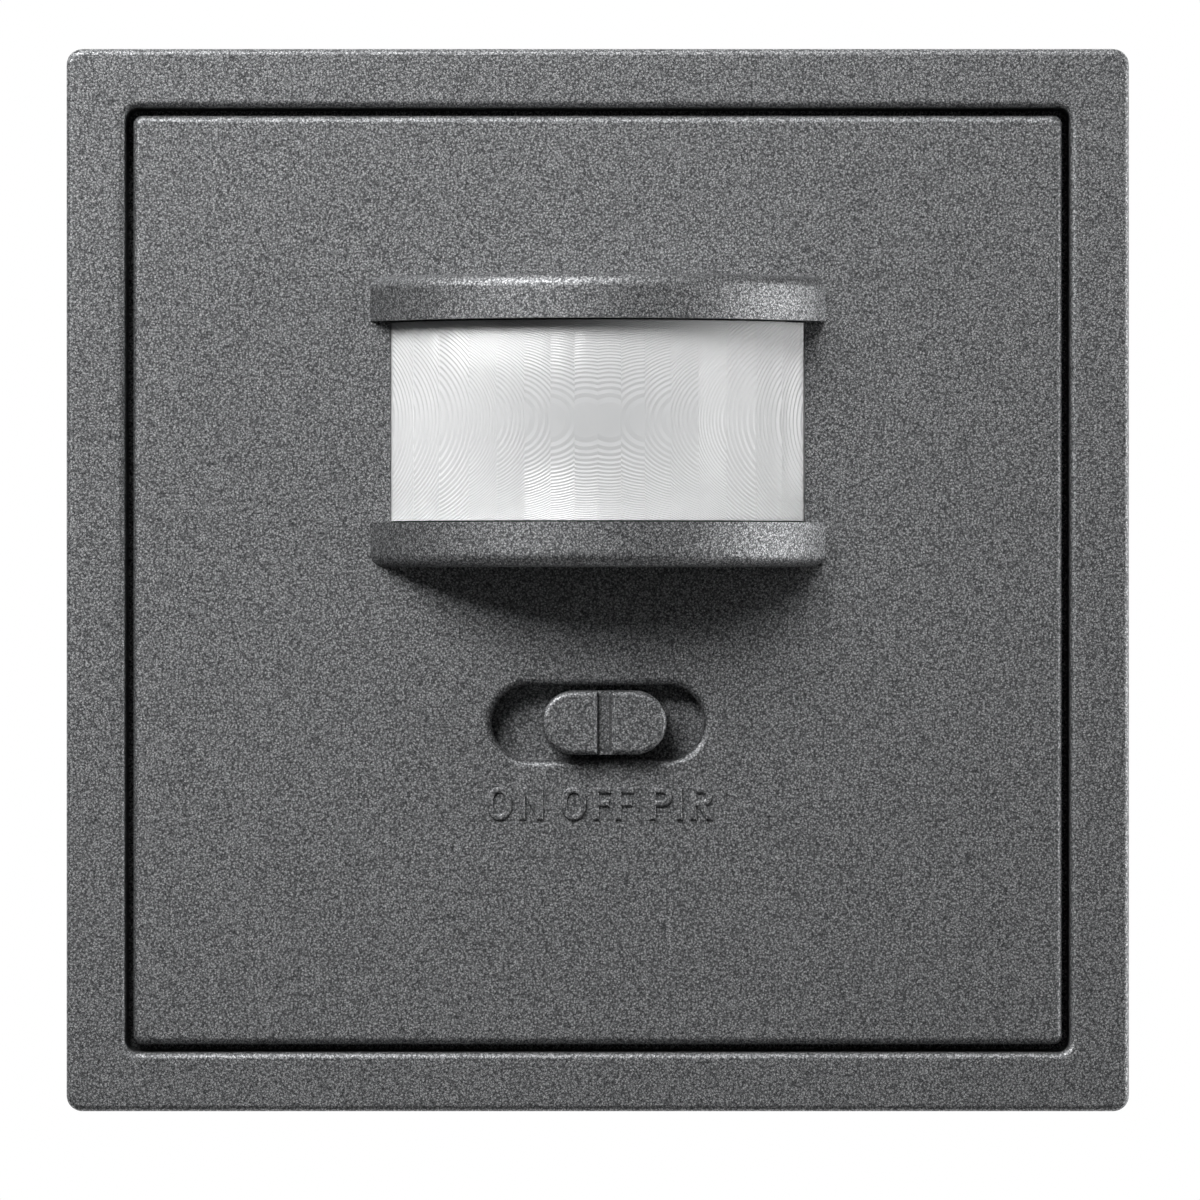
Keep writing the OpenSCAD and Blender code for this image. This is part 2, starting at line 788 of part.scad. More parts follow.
// Section of the grip groove with chamfered edges, cut into the knob's front
module groove_section() {
    half = groove_w / 2;
    mouth = half + groove_chamfer;
    polygon([[-mouth, -1], [mouth, -1], [mouth, 0], [half, groove_chamfer], [half, groove_d],
        [-half, groove_d], [-half, groove_chamfer], [-mouth, 0]]);
}

// Slide: grooved knob on a base plate, with a fork behind for the switch
module slide_knob() {
    y_layer = y_knob + knob_edge_r;
    knob_straight = knob_len - knob_width;
    fork_in = actuator_w / 2 + rotor_gap;
    color("dimgray")
    translate([knob_rest_x, 0, slide_z]) {
        difference() {
            union() {
                bar(-knob_straight / 2, knob_straight / 2, y_knob, y_layer,
                    knob_edge_r - knob_width / 2, knob_width / 2 - knob_edge_r);
                for (s = [0, 1])
                    mirror([0, 0, s])
                    edge_run(knob_straight, knob_edge_r, y_knob, knob_width / 2 - knob_edge_r);
                for (s = [0, 1])
                    mirror([s, 0, 0])
                    translate([knob_straight / 2, y_layer, 0])
                    rotate([0, 90, 0])
                    corner_turn(knob_width / 2, knob_edge_r, 180);
                along_y(y_layer, y_base)
                racetrack(knob_len, knob_width);
            }
            translate([0, y_knob, -knob_width])
            linear_extrude(2 * knob_width)
            groove_section();
        }
        bar(-base_len / 2, base_len / 2, y_base, y_base_back, -base_width / 2, base_width / 2);
        for (s = [0, 1])
            mirror([s, 0, 0])
            bar(fork_in, fork_in + prong_t, y_base_back, y_can - slide_gap, -prong_h / 2,
                prong_h / 2);
    }
}

// Stem and foot of the slide switch
module switch_actuator() {
    half = actuator_w / 2;
    foot_z = switch_width / 2 - switch_sheet_t - 2 * slide_gap;
    color("black")
    translate([knob_rest_x, 0, slide_z]) {
        bar(-half, half, y_actuator_tip, y_actuator, -half, half);
        bar(-actuator_foot_len / 2, actuator_foot_len / 2, y_actuator, y_wiper, -foot_z, foot_z);
    }
}

// Contact strip under the switch's foot
module contact_wiper() {
    pad = contact_leg_w;
    reach = knob_travel / 2;
    color("goldenrod")
    translate([knob_rest_x, 0, slide_z]) {
        bar(-reach - pad, reach + pad, y_wiper, y_wiper + wiper_t, -pad, pad);
        for (s = sides)
            bar(s * reach - pad / 2, s * reach + pad / 2, y_wiper + wiper_t, y_wiper + 2 * wiper_t,
                -pad, pad);
    }
}

// Sheet can of the slide switch with the slot for the stem
module switch_can() {
    x_out = switch_len / 2;
    z_out = switch_width / 2;
    x_in = x_out - switch_sheet_t;
    z_in = z_out - switch_sheet_t;
    slot_half = actuator_w / 2 + slide_gap;
    color("silver")
    translate([0, 0, slide_z])
    difference() {
        bar(-x_out, x_out, y_can, y_board, -z_out, z_out);
        bar(-x_in, x_in, y_can_inside, y_board + 1, -z_in, z_in);
        bar(-can_slot_len / 2, can_slot_len / 2, y_can - 1, y_can_inside + 1, -slot_half, slot_half);
    }
}

// Board-side base of the slide switch
module switch_base() {
    x_half = switch_len / 2 - switch_sheet_t;
    z_half = switch_width / 2 - switch_sheet_t;
    color("saddlebrown")
    difference() {
        translate([0, 0, slide_z])
        bar(-x_half, x_half, y_switch_base, y_board, -z_half, z_half);
        contact_legs(fit_gap);
    }
}

// Legs of the four fixed contacts, or the holes for them
module contact_legs(gap) {
    half = contact_leg_w / 2 + gap;
    for (n = contact_row)
        translate([n * knob_travel, 0, slide_z])
        bar(-half, half, y_switch_base - gap, y_tail, -half, half);
}

// Four fixed contacts in a row
module switch_contacts() {
    pad = knob_travel / 3;
    color("goldenrod") {
        contact_legs(0);
        for (n = contact_row)
            translate([n * knob_travel, 0, slide_z])
            bar(-pad / 2, pad / 2, y_contact, y_switch_base, -pad, pad);
    }
}

// Leads of the detector, or the holes for them
module detector_leads(gap) {
    for (a = [90, 180, 270])
        rod_y(lead_circle_r * cos(a), hood_z + lead_circle_r * sin(a), lead_r + gap,
            y_board - can_h / 4, y_tail);
}

// Leads of the light sensor, or the holes for them
module light_leads(gap) {
    for (s = sides)
        rod_y(light_x + s * light_r / 2, hood_z, lead_r + gap, y_board - light_h / 2, y_tail);
}

// Pins of the plug, or the holes for them
module pin_grid(w, y0, y1) {
    for (i = [0 : pin_count - 1], s = sides)
        translate([i * pin_pitch - pin_span, 0, s * pin_pitch / 2])
        bar(-w / 2, w / 2, y0, y1, -w / 2, w / 2);
}

// Circuit board of the sensor
module sensor_board() {
    color("darkgreen")
    difference() {
        along_y(y_board, y_board_back)
        round_square(board_w, 1);
        contact_legs(fit_gap);
        detector_leads(fit_gap);
        light_leads(fit_gap);
        pin_grid(pin_w + 2 * fit_gap, y_board - 1, y_board_back + 1);
    }
}

// Round metal can of the infrared detector
module detector_can() {
    y_top = y_board - can_h;
    color("silver")
    difference() {
        union() {
            rod_y(0, hood_z, can_r, y_top, y_board);
            rod_y(0, hood_z, can_flange_r, y_board - 2 * can_t, y_board);
        }
        rod_y(0, hood_z, can_r - can_t, y_top + can_t, y_board + 1);
        bar(-window_w / 2, window_w / 2, y_top - 1, y_top + 1, hood_z - window_h / 2,
            hood_z + window_h / 2);
    }
}

// Dark filter pane behind the can's opening
module detector_window() {
    y_pane = y_board - can_h + can_t;
    x_half = window_w / 2 + window_lap;
    z_half = window_h / 2 + window_lap;
    color("darkslategray")
    bar(-x_half, x_half, y_pane, y_pane + window_t, hood_z - z_half, hood_z + z_half);
}

// Base of the detector with its three leads
module detector_base() {
    color("gold") {
        rod_y(0, hood_z, can_r - can_t - fit_gap / 2, y_board - header_t, y_board);
        intersection() {
            detector_leads(0);
            bar(-far, far, y_board - tiny, far, -far, far);
        }
    }
}

// Light sensor beside the detector
module light_sensor() {
    color("sandybrown") {
        rod_y(light_x, hood_z, light_r, y_board - light_h, y_board);
        light_leads(0);
    }
}

// Bodies of the two trimmers
module trimmer_bodies() {
    half = trimmer_w / 2;
    y_body = y_board - trimmer_h;
    color("royalblue")
    for (s = sides)
        translate([s * trimmer_x, 0, trimmer_z])
        difference() {
            bar(-half, half, y_body, y_board, -half, half);
            rod_y(0, 0, rotor_pin_r + rotor_gap, y_body - 1, y_body + rotor_pin_len + fit_gap);
        }
}

// Rotor of a trimmer: slotted disc on a pin
module trimmer_rotor(x) {
    y_disc_back = y_board - trimmer_h - rotor_gap;
    y_disc = y_disc_back - rotor_t;
    color("white")
    translate([x, 0, trimmer_z])
    difference() {
        union() {
            rod_y(0, 0, rotor_r, y_disc, y_disc_back);
            rod_y(0, 0, rotor_pin_r, y_disc, y_disc_back + rotor_pin_len);
        }
        bar(-rotor_slot_w / 2, rotor_slot_w / 2, y_disc - 1, y_disc + rotor_slot_d,
            -rotor_r * 0.8, rotor_r * 0.8);
    }
}

module lux_trimmer_rotor() {
    trimmer_rotor(-trimmer_x);
}

module time_trimmer_rotor() {
    trimmer_rotor(trimmer_x);
}

// Control chip with its two rows of leads
module control_chip() {
    lead_w = 0.4;
    lead_pitch = chip_len / (chip_leads + 0.8);
    color("black")
    translate([-chip_len - smd_len * 2, 0, 0]) {
        bar(-chip_len / 2, chip_len / 2, y_board - chip_h, y_board, -chip_width / 2, chip_width / 2);
        for (i = [0 : chip_leads - 1])
            translate([(i - (chip_leads - 1) / 2) * lead_pitch, 0, 0])
            bar(-lead_w / 2, lead_w / 2, y_board - lead_w, y_board, -chip_width / 2 - 1,
                chip_width / 2 + 1);
    }
}

// Small chip resistors and capacitors in two rows
module chip_parts() {
    rows = [-1, 0, 1];
    color("tan")
    for (r = rows, c = [0 : 2])
        translate([chip_len + c * smd_len * 2, 0, r * smd_width * 2])
        bar(-smd_len / 2, smd_len / 2, y_board - smd_h, y_board, -smd_width / 2, smd_width / 2);
}

// Catch on the carrier for one snap leg, with a window for the barb
module leg_catch() {
    half = leg_w / 2 + 2 * carrier_wall;
    window = leg_w / 2 + 4 * fit_gap;
    difference() {
        bar(catch_x, catch_x + catch_t, y_catch, y_carrier, -half, half);
        bar(catch_x - 1, catch_x + catch_t + 1, y_barb - fit_gap, y_barb + barb_h + fit_gap,
            -window, window);
    }
}

// Carrier on the support ring: plate, board walls, hooks and catches
module sensor_carrier() {
    color("whitesmoke") {
        difference() {
            along_y(y_carrier, y_ring)
            difference() {
                round_square(carrier_w, carrier_corner_r);
                circle(passage_r);
                for (a = quarters)
                    rotate(a)
                    translate([wall_out + fit_gap, -notch_half])
                    square([far, 2 * notch_half]);
                for (sx = sides, sz = sides)
                    translate([sx * screw_pos, sz * screw_pos])
                    circle(screw_r + 2 * fit_gap);
            }
            for (sx = sides, sz = sides)
                rod_y(sx * screw_pos, sz * screw_pos, screw_head_r + fit_gap, y_carrier - 1,
                    y_carrier + screw_head_t);
        }
        along_y(y_carrier - carrier_wall_h, y_carrier)
        difference() {
            square(2 * wall_out, center = true);
            square(2 * wall_in, center = true);
        }
        for (a = quarters)
            rotate([0, a, 0])
            bar(wall_in - fit_gap - hook_lap, wall_in + fit_gap, y_board - fit_gap - hook_t,
                y_board - fit_gap, -hook_w / 2, hook_w / 2);
        for (sx = [0, 1], sz = sides)
            mirror([sx, 0, 0])
            translate([0, 0, sz * leg_z])
            leg_catch();
    }
}

// Insulating strip of the plug on the sensor board's back
module plug_body() {
    half_x = pin_span + pin_pitch / 2;
    color("black")
    difference() {
        bar(-half_x, half_x, y_board_back, -fit_gap, -pin_pitch, pin_pitch);
        pin_grid(pin_w + fit_gap, y_board_back - 1, 1);
    }
}

// Pins of the plug, from the sensor board into the socket
module plug_pins() {
    color("gold")
    pin_grid(pin_w, y_board - lead_tail, power_y - board_t);
}

// Socket on the power board's front
module plug_socket() {
    half_x = pin_span + pin_pitch / 2;
    color("black")
    difference() {
        bar(-half_x, half_x, 2 * fit_gap, power_y, -pin_pitch, pin_pitch);
        pin_grid(pin_w + 2 * fit_gap, 0, power_y - board_t + fit_gap);
    }
}

// Steel ring that is screwed to the wall box
module support_ring() {
    color("lightsteelblue")
    along_y(y_ring, 0)
    difference() {
        round_square(ring_w, ring_corner_r);
        circle(passage_r);
        for (a = quarters)
            rotate(a)
            translate([box_spacing / 2, 0])
            racetrack(box_slot_len, box_slot_width);
        for (sx = sides, sz = sides) {
            translate([sx * screw_pos, sz * screw_pos])
            circle(screw_r + 2 * fit_gap);
            translate([sx * corner_cut_pos, sz * corner_cut_pos])
            square(2 * corner_cut_r, center = true);
        }
    }
}

// Round insert housing with bosses, ribs, a terminal window and driver openings
module insert_housing() {
    window_half = 1.5 * terminal_pitch + fit_gap;
    color("dimgray")
    difference() {
        union() {
            difference() {
                rotate([-90, 0, 0])
                rotate_extrude() {
                    square([insert_r - insert_edge_r, insert_d]);
                    square([insert_r, insert_d - insert_edge_r]);
                    translate([insert_r - insert_edge_r, insert_d - insert_edge_r])
                    circle(insert_edge_r);
                }
                rod_y(0, 0, insert_in, -1, y_housing_floor);
            }
            for (sx = sides, sz = sides)
                rod_y(sx * screw_pos, sz * screw_pos, boss_r, 0, y_housing_floor + tiny);
            for (a = [0, 180, 270])
                rotate([0, a, 0])
                bar(insert_in - rib_in, insert_in + insert_wall / 2, y_power_back,
                    y_housing_floor + tiny, -rib_w / 2, rib_w / 2);
        }
        for (sx = sides, sz = sides)
            rod_y(sx * screw_pos, sz * screw_pos, screw_r + rotor_gap, -1, screw_len + 1);
        bar(-window_half, window_half, y_housing_floor - 1, insert_d + 1,
            terminal_bottom_z - fit_gap, terminal_top_z + fit_gap);
        for (n = terminal_slots)
            translate([n * terminal_pitch, (y_clamp + y_clamp_back) / 2, -insert_r - 1])
            cylinder(r = terminal_head_r + 2 * fit_gap, h = insert_r + 1 + terminal_bottom_z);
    }
}

// Circuit board of the insert, notched for the bosses
module power_board() {
    color("darkgreen")
    along_y(power_y, y_power_back)
    difference() {
        circle(power_r);
        for (sx = sides, sz = sides)
            translate([sx * screw_pos, sz * screw_pos])
            circle(boss_r + 3 * fit_gap);
    }
}

module relay() {
    color("royalblue")
    bar(-relay_len / 2, relay_len / 2, y_power_back, y_power_back + relay_h, relay_z,
        relay_z + relay_width);
}

module mains_capacitor() {
    color("goldenrod")
    bar(film_x - film_len, film_x, y_power_back, y_power_back + film_h, film_z, film_z + film_width);
}

module smoothing_capacitor() {
    color("darkslateblue")
    rod_y(smooth_x, smooth_z, smooth_r, y_power_back, y_power_back + smooth_h);
}

// Upright varistor disc on a short foot
module varistor() {
    color("steelblue")
    translate([varistor_x, 0, varistor_z]) {
        translate([0, y_power_back + varistor_r + 1, -varistor_t / 2])
        cylinder(r = varistor_r, h = varistor_t);
        bar(-varistor_t, varistor_t, y_power_back, y_power_back + varistor_r, -varistor_t / 4,
            varistor_t / 4);
    }
}

module fuse() {
    color("maroon")
    rod_y(fuse_x, fuse_z, fuse_r, y_power_back, y_power_back + fuse_h);
}

module rectifier() {
    color("black")
    bar(-rectifier_w / 2, rectifier_w / 2, y_power_back, y_power_back + rectifier_h,
        rectifier_z - rectifier_w / 2, rectifier_z + rectifier_w / 2);
}

// One terminal body: wire entry at the back, room for the clamp, driver opening below
module terminal_body(n) {
    half = terminal_w / 2;
    room = clamp_w / 2;
    y_mid = (y_clamp + y_clamp_back) / 2;
    color("whitesmoke")
    translate([n * terminal_pitch, 0, 0])
    difference() {
        bar(-half, half, y_power_back, insert_d, terminal_bottom_z, terminal_top_z);
        bar(-room, room, y_clamp - fit_gap, y_clamp_back, clamp_bottom - fit_gap,
            clamp_top + fit_gap);
        rod_y(0, wire_z, wire_r, y_clamp_back - 1, insert_d + 1);
        translate([0, y_mid, terminal_bottom_z - 1])
        cylinder(r = terminal_head_r + fit_gap, h = terminal_h / 2);
    }
}

module line_terminal() {
    terminal_body(-1);
}

module neutral_terminal() {
    terminal_body(0);
}

module load_terminal() {
    terminal_body(1);
}

// Metal clamps around the wires, one in each terminal
module wire_clamps() {
    y_mid = (y_clamp + y_clamp_back) / 2;
    color("silver")
    for (n = terminal_slots)
        translate([n * terminal_pitch, 0, 0])
        difference() {
            bar(-clamp_half, clamp_half, y_clamp, y_clamp_back - fit_gap, clamp_bottom, clamp_top);
            bar(clamp_t - clamp_half, clamp_half - clamp_t, y_clamp - 1, y_clamp_back + 1,
                clamp_bottom + clamp_t, wire_z);
            rod_y(0, wire_z, wire_r + fit_gap, y_clamp - 1, y_clamp_back + 1);
            translate([0, y_mid, clamp_bottom - 1])
            cylinder(r = terminal_screw_r + rotor_gap, h = 2 + clamp_t);
        }
}

// Screws of the three terminals, driven from below
module terminal_screws() {
    y_mid = (y_clamp + y_clamp_back) / 2;
    head_bottom = clamp_bottom - terminal_head_t;
    color("lightgray")
    for (n = terminal_slots)
        translate([n * terminal_pitch, y_mid, head_bottom])
        difference() {
            union() {
                cylinder(r = terminal_head_r, h = terminal_head_t);
                cylinder(r = terminal_screw_r, h = wire_z - wire_r - head_bottom);
            }
            translate([-terminal_head_r, -screw_slot_w / 2, -1])
            cube([2 * terminal_head_r, screw_slot_w, 1 + screw_slot_d]);
        }
}

// Four screws that clamp carrier and ring to the insert
module assembly_screws() {
    color("lightgray")
    for (sx = sides, sz = sides)
        translate([sx * screw_pos, 0, sz * screw_pos])
        difference() {
            union() {
                rod_y(0, 0, screw_head_r, y_carrier, y_carrier + screw_head_t);
                rod_y(0, 0, screw_r, y_carrier, screw_len);
            }
            bar(-screw_head_r, screw_head_r, y_carrier - 1, y_carrier + screw_slot_d,
                -screw_slot_w / 2, screw_slot_w / 2);
        }
}

cover_frame();
sensor_cover();
sensor_lens();
slide_knob();
switch_actuator();
contact_wiper();
switch_can();
switch_base();
switch_contacts();
sensor_board();
detector_can();
detector_window();
detector_base();
light_sensor();
trimmer_bodies();
lux_trimmer_rotor();
time_trimmer_rotor();
control_chip();
chip_parts();
sensor_carrier();
plug_body();
plug_pins();
plug_socket();
support_ring();
insert_housing();
power_board();
relay();
mains_capacitor();
smoothing_capacitor();
varistor();
fuse();
rectifier();
line_terminal();
neutral_terminal();
load_terminal();
wire_clamps();
terminal_screws();
assembly_screws();
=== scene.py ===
"""Looks of the motion sensor light switch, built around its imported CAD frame."""

import json
import math

import bmesh
import bpy
from mathutils import Matrix, Vector

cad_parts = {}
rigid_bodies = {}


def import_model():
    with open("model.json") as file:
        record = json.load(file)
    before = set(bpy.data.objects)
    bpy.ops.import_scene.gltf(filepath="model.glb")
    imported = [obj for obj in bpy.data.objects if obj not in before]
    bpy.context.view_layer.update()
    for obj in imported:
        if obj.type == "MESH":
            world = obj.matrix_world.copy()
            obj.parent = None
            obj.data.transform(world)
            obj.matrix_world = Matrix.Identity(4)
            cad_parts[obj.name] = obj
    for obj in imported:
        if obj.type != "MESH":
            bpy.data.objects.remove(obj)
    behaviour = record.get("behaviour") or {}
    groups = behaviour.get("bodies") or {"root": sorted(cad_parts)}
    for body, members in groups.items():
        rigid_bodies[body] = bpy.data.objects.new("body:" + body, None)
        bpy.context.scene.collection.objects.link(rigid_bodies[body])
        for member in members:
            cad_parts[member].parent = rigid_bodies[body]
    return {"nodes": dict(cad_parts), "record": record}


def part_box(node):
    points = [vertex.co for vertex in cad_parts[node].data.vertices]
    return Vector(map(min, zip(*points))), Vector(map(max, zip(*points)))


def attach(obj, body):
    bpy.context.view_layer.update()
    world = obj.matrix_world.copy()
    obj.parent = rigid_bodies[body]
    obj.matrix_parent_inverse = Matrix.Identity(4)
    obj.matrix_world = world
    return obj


for obj in list(bpy.data.objects):
    bpy.data.objects.remove(obj)
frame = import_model()
scene = bpy.context.scene

MM = 0.001               # the object's sizes are in mm, Blender's in metres


def box_mm(node):
    """Lowest and highest corner of a node, in mm."""
    return [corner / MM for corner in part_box(node)]


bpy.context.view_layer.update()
cover_low = box_mm("sensor_cover")[0]
lens_low, lens_high = box_mm("sensor_lens")
housing_low, housing_high = box_mm("insert_housing")
PLATE_Y = box_mm("cover_frame")[0].y     # front face of frame and cover
LENS_Z = (lens_low.z + lens_high.z) / 2


# Helpers for objects and meshes

def add_object(name, data):
    """A new object in the scene."""
    made = bpy.data.objects.new(name, data)
    scene.collection.objects.link(made)
    return made


def add_piece(name, mesh, body, slot):
    """A new piece that rides on a body and has the finish of a slot."""
    made = add_object(name, mesh)
    mesh.materials.append(finishes[slot])
    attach(made, body)


def mesh_from(name, whole):
    """A mesh from a bmesh, which is freed."""
    mesh = bpy.data.meshes.new(name)
    whole.to_mesh(mesh)
    whole.free()
    return mesh


def closed_loft(whole, rings):
    """Walls from each ring of corners to the next, and a face at both ends."""
    for one, two in zip(rings, rings[1:]):
        for i in range(len(one)):
            j = (i + 1) % len(one)
            whole.faces.new((one[i], one[j], two[j], two[i]))
    whole.faces.new(rings[0])
    whole.faces.new(rings[-1])


def cos_sin(degrees):
    """Cosine and sine of an angle."""
    return math.cos(math.radians(degrees)), math.sin(math.radians(degrees))


# Camera: straight on, from the photograph's distance

CAMERA_FAR = 690.0       # distance from the front face
VIEW_W = 91.44           # width of the picture at that face
VIEW_X, VIEW_Z = 0.17, -1.52     # middle of the picture
SENSOR_W = 36.0

cam_data = bpy.data.cameras.new("camera")
cam_data.sensor_width = SENSOR_W
cam_data.lens = SENSOR_W * CAMERA_FAR / VIEW_W
cam_data.clip_start = 0.05
cam_data.clip_end = 20.0
camera = add_object("camera", cam_data)
camera.location = Vector((VIEW_X, PLATE_Y - CAMERA_FAR, VIEW_Z)) * MM
camera.rotation_euler = (math.radians(90), 0, 0)
scene.camera = camera


# Helpers for shader nodes

NOISE_LOW, NOISE_HIGH = 0.3, 0.7     # nearly all of a noise lies between these
MIX_A, MIX_B, MIX_OUT = 6, 7, 2      # colour sockets of a Mix node


def rgba(colour):
    """A colour with its alpha, or a socket as it is."""
    return colour if isinstance(colour, bpy.types.NodeSocket) else (*colour, 1.0)


def shade(colour, factor):
    """A colour times a factor, white at most."""
    return tuple(min(1.0, c * factor) for c in colour)


class Tree:
    """A small writer for shader node trees. An input is a socket or a plain value."""

    def __init__(self, tree):
        self.tree = tree
        tree.nodes.clear()

    def add(self, kind, inputs=None, **props):
        """A new node with those properties and inputs."""
        made = self.tree.nodes.new("ShaderNode" + kind)
        for name, value in props.items():
            setattr(made, name, value)
        for name, value in (inputs or {}).items():
            self.put(made, name, value)
        return made

    def put(self, made, name, value):
        """Links a socket to a node's input, or sets the input to a value."""
        if isinstance(value, bpy.types.NodeSocket):
            self.tree.links.new(value, made.inputs[name])
        else:
            made.inputs[name].default_value = value

    def maths(self, operation, a, b=0.0, clamp=False):
        """A sum, product or other operation on numbers."""
        return self.add("Math", {0: a, 1: b}, operation=operation, use_clamp=clamp).outputs[0]

    def highest(self, values):
        """The highest of several numbers."""
        top = values[0]
        for value in values[1:]:
            top = self.maths("MAXIMUM", top, value)
        return top

    def weigh(self, a, share_a, b, share_b):
        """The sum of two numbers, each times its share."""
        return self.maths("ADD", self.maths("MULTIPLY", a, share_a), self.maths("MULTIPLY", b, share_b))

    def vector(self, operation, a, b=(0, 0, 0)):
        """An operation on vectors that gives a vector."""
        return self.add("VectorMath", {0: a, 1: b}, operation=operation).outputs[0]

    def scaled(self, a, factor):
        """A vector times a number."""
        return self.add("VectorMath", {0: a, "Scale": factor}, operation="SCALE").outputs[0]

    def measure(self, operation, a, b=(0, 0, 0)):
        """An operation on vectors that gives a number."""
        return self.add("VectorMath", {0: a, 1: b}, operation=operation).outputs["Value"]

    def axes(self, where):
        """A vector's X, Y and Z."""
        return self.add("SeparateXYZ", {0: where}).outputs

    def first(self, colour):
        """A colour's first channel."""
        return self.add("SeparateColor", {0: colour}).outputs[0]

    def spread(self, value, low, high, to_low, to_high):
        """A number's range, spread over another range."""
        return self.add("MapRange", {0: value, 1: low, 2: high, 3: to_low, 4: to_high}).outputs[0]

    def between(self, noise, low, high):
        """A noise as a number between two."""
        return self.spread(noise, NOISE_LOW, NOISE_HIGH, low, high)

    def ramp(self, fac, *stops):
        """A number as a colour; a stop is a place and the colour there."""
        made = self.add("ValToRGB", {"Fac": fac})
        bar = made.color_ramp.elements
        while len(bar) < len(stops):
            bar.new(0.5)
        for stop, (place, colour) in zip(bar, stops):
            stop.position = place
            stop.color = rgba(colour)
        return made.outputs["Color"]

    def shades(self, noise, dark, light):
        """A noise as a colour between two."""
        return self.ramp(noise, (NOISE_LOW, dark), (NOISE_HIGH, light))

    def mix(self, fac, a, b):
        """Colour a where fac is 0, and b where it is 1."""
        made = self.add("Mix", {0: fac, MIX_A: rgba(a), MIX_B: rgba(b)}, data_type="RGBA")
        return made.outputs[MIX_OUT]

    def place(self):
        """The point's place in the object's frame, in metres."""
        return self.add("TexCoord").outputs["Object"]

    def noise(self, size_mm, detail=2.0, rough=0.5, where=None):
        """A soft random pattern of that size."""
        made = self.add("TexNoise", {"Vector": where or self.place(), "Scale": 1.0 / (size_mm * MM),
                                     "Detail": detail, "Roughness": rough})
        return made.outputs["Fac"]

    def cells(self, size_mm):
        """Outputs of a pattern of random cells of that size."""
        return self.add("TexVoronoi", {"Vector": self.place(), "Scale": 1.0 / (size_mm * MM)}).outputs

    def bump(self, height, depth_mm, normal=None):
        """The normal of a surface with a fine relief, on top of another normal if one is given."""
        made = self.add("Bump", {"Height": height, "Distance": depth_mm * MM})
        if normal:
            self.put(made, "Normal", normal)
        return made.outputs["Normal"]

    def finish(self, **inputs):
        """Ends a material with its shader. Input names have _ in place of spaces."""
        shader = self.add("BsdfPrincipled")
        for name, value in inputs.items():
            name = name.replace("_", " ")
            self.put(shader, name, rgba(value) if name.endswith("Color") else value)
        self.add("OutputMaterial", {"Surface": shader.outputs[0]})


finishes = {}


def tree_of(slot):
    """The empty node tree of a new material, which becomes the finish of a slot."""
    made = bpy.data.materials.new(slot + "_look")
    made.use_nodes = True
    finishes[slot] = made
    return Tree(made.node_tree)


# Anthracite lacquer

FLAKE, SPECK, GRAIN = 0.045, 0.17, 0.25     # sizes of its flakes, bright specks and grain
FLAKE_SHARE = 0.55       # share of the tone that the flakes make; the specks make the rest
FLAKE_LEAN = 0.14        # how far the flakes lean from the surface


def lacquer(slot):
    """Lacquer with fine flakes that catch the light each at its own angle."""
    t = tree_of(slot)
    flakes = t.cells(FLAKE)["Color"]
    specks = t.spread(t.cells(SPECK)["Distance"], 0.1, 0.75, 1 - FLAKE_SHARE, 0.0)
    grain = t.noise(GRAIN, rough=0.6)
    tone = t.maths("ADD", t.maths("MULTIPLY", t.first(flakes), FLAKE_SHARE), specks)
    tint = t.ramp(tone, (0.1, (0.03, 0.031, 0.033)), (0.5, (0.185, 0.189, 0.194)),
                  (0.9, (0.70, 0.707, 0.715)))
    lean = t.scaled(t.vector("SUBTRACT", flakes, (0.5, 0.5, 0.5)), FLAKE_LEAN)
    face = t.add("NewGeometry").outputs["Normal"]
    tilted = t.vector("NORMALIZE", t.vector("ADD", face, lean))
    t.finish(Base_Color=tint, Metallic=0.85, Roughness=t.between(grain, 0.5, 0.6),
             Normal=t.bump(grain, 0.008, tilted))


# Moulded plastics

CLOUD = 9.0              # size of the slow drift of colour
GLOSS_DRIFT = 0.07


def moulded_skin(t, colour, rough, grain_mm, drift):
    """Eroded skin of a moulding, with its colour and roughness."""
    skin = t.noise(grain_mm, detail=3.0, rough=0.6)
    both = t.weigh(skin, 0.5, t.noise(CLOUD), 0.5)
    tint = t.shades(both, shade(colour, 1 - drift), shade(colour, 1 + drift))
    return skin, tint, t.between(skin, rough - GLOSS_DRIFT, rough + GLOSS_DRIFT)


def moulded(slot, colour, rough=0.5, grain_mm=0.35, depth_mm=0.006, drift=0.12):
    """Plain moulded plastic: eroded skin, slight drift of colour and gloss."""
    t = tree_of(slot)
    skin, tint, gloss = moulded_skin(t, colour, rough, grain_mm, drift)
    t.finish(Base_Color=tint, Roughness=gloss, Normal=t.bump(skin, depth_mm))


# Housing of the insert

BACK_SKIN = 0.2          # depth of the back that takes marks and traces
MARK_H, MARK_W, MARK_LINE = 2.4, 1.5, 0.4    # printed terminal marks: height, width and line
MARK_UP = 1.2            # from the terminals' top to the marks
MARK_TINT = (0.66, 0.66, 0.65)
RIM_IN, RIM_LINE = 3.2, 0.2      # mould's ring trace: distance from the outside, and line
PIN_OUT, PIN_R, PIN_LINE = 15.0, 2.0, 0.15   # ejector traces: distance from the middle, radius and line
PIN_ANGLES = (0, 35, 145, 180)
TRACE_SHADE, TRACE_GLOSS = 0.5, 0.15     # how much darker and smoother the traces are
MARK_COVER = 0.9         # how well the print covers


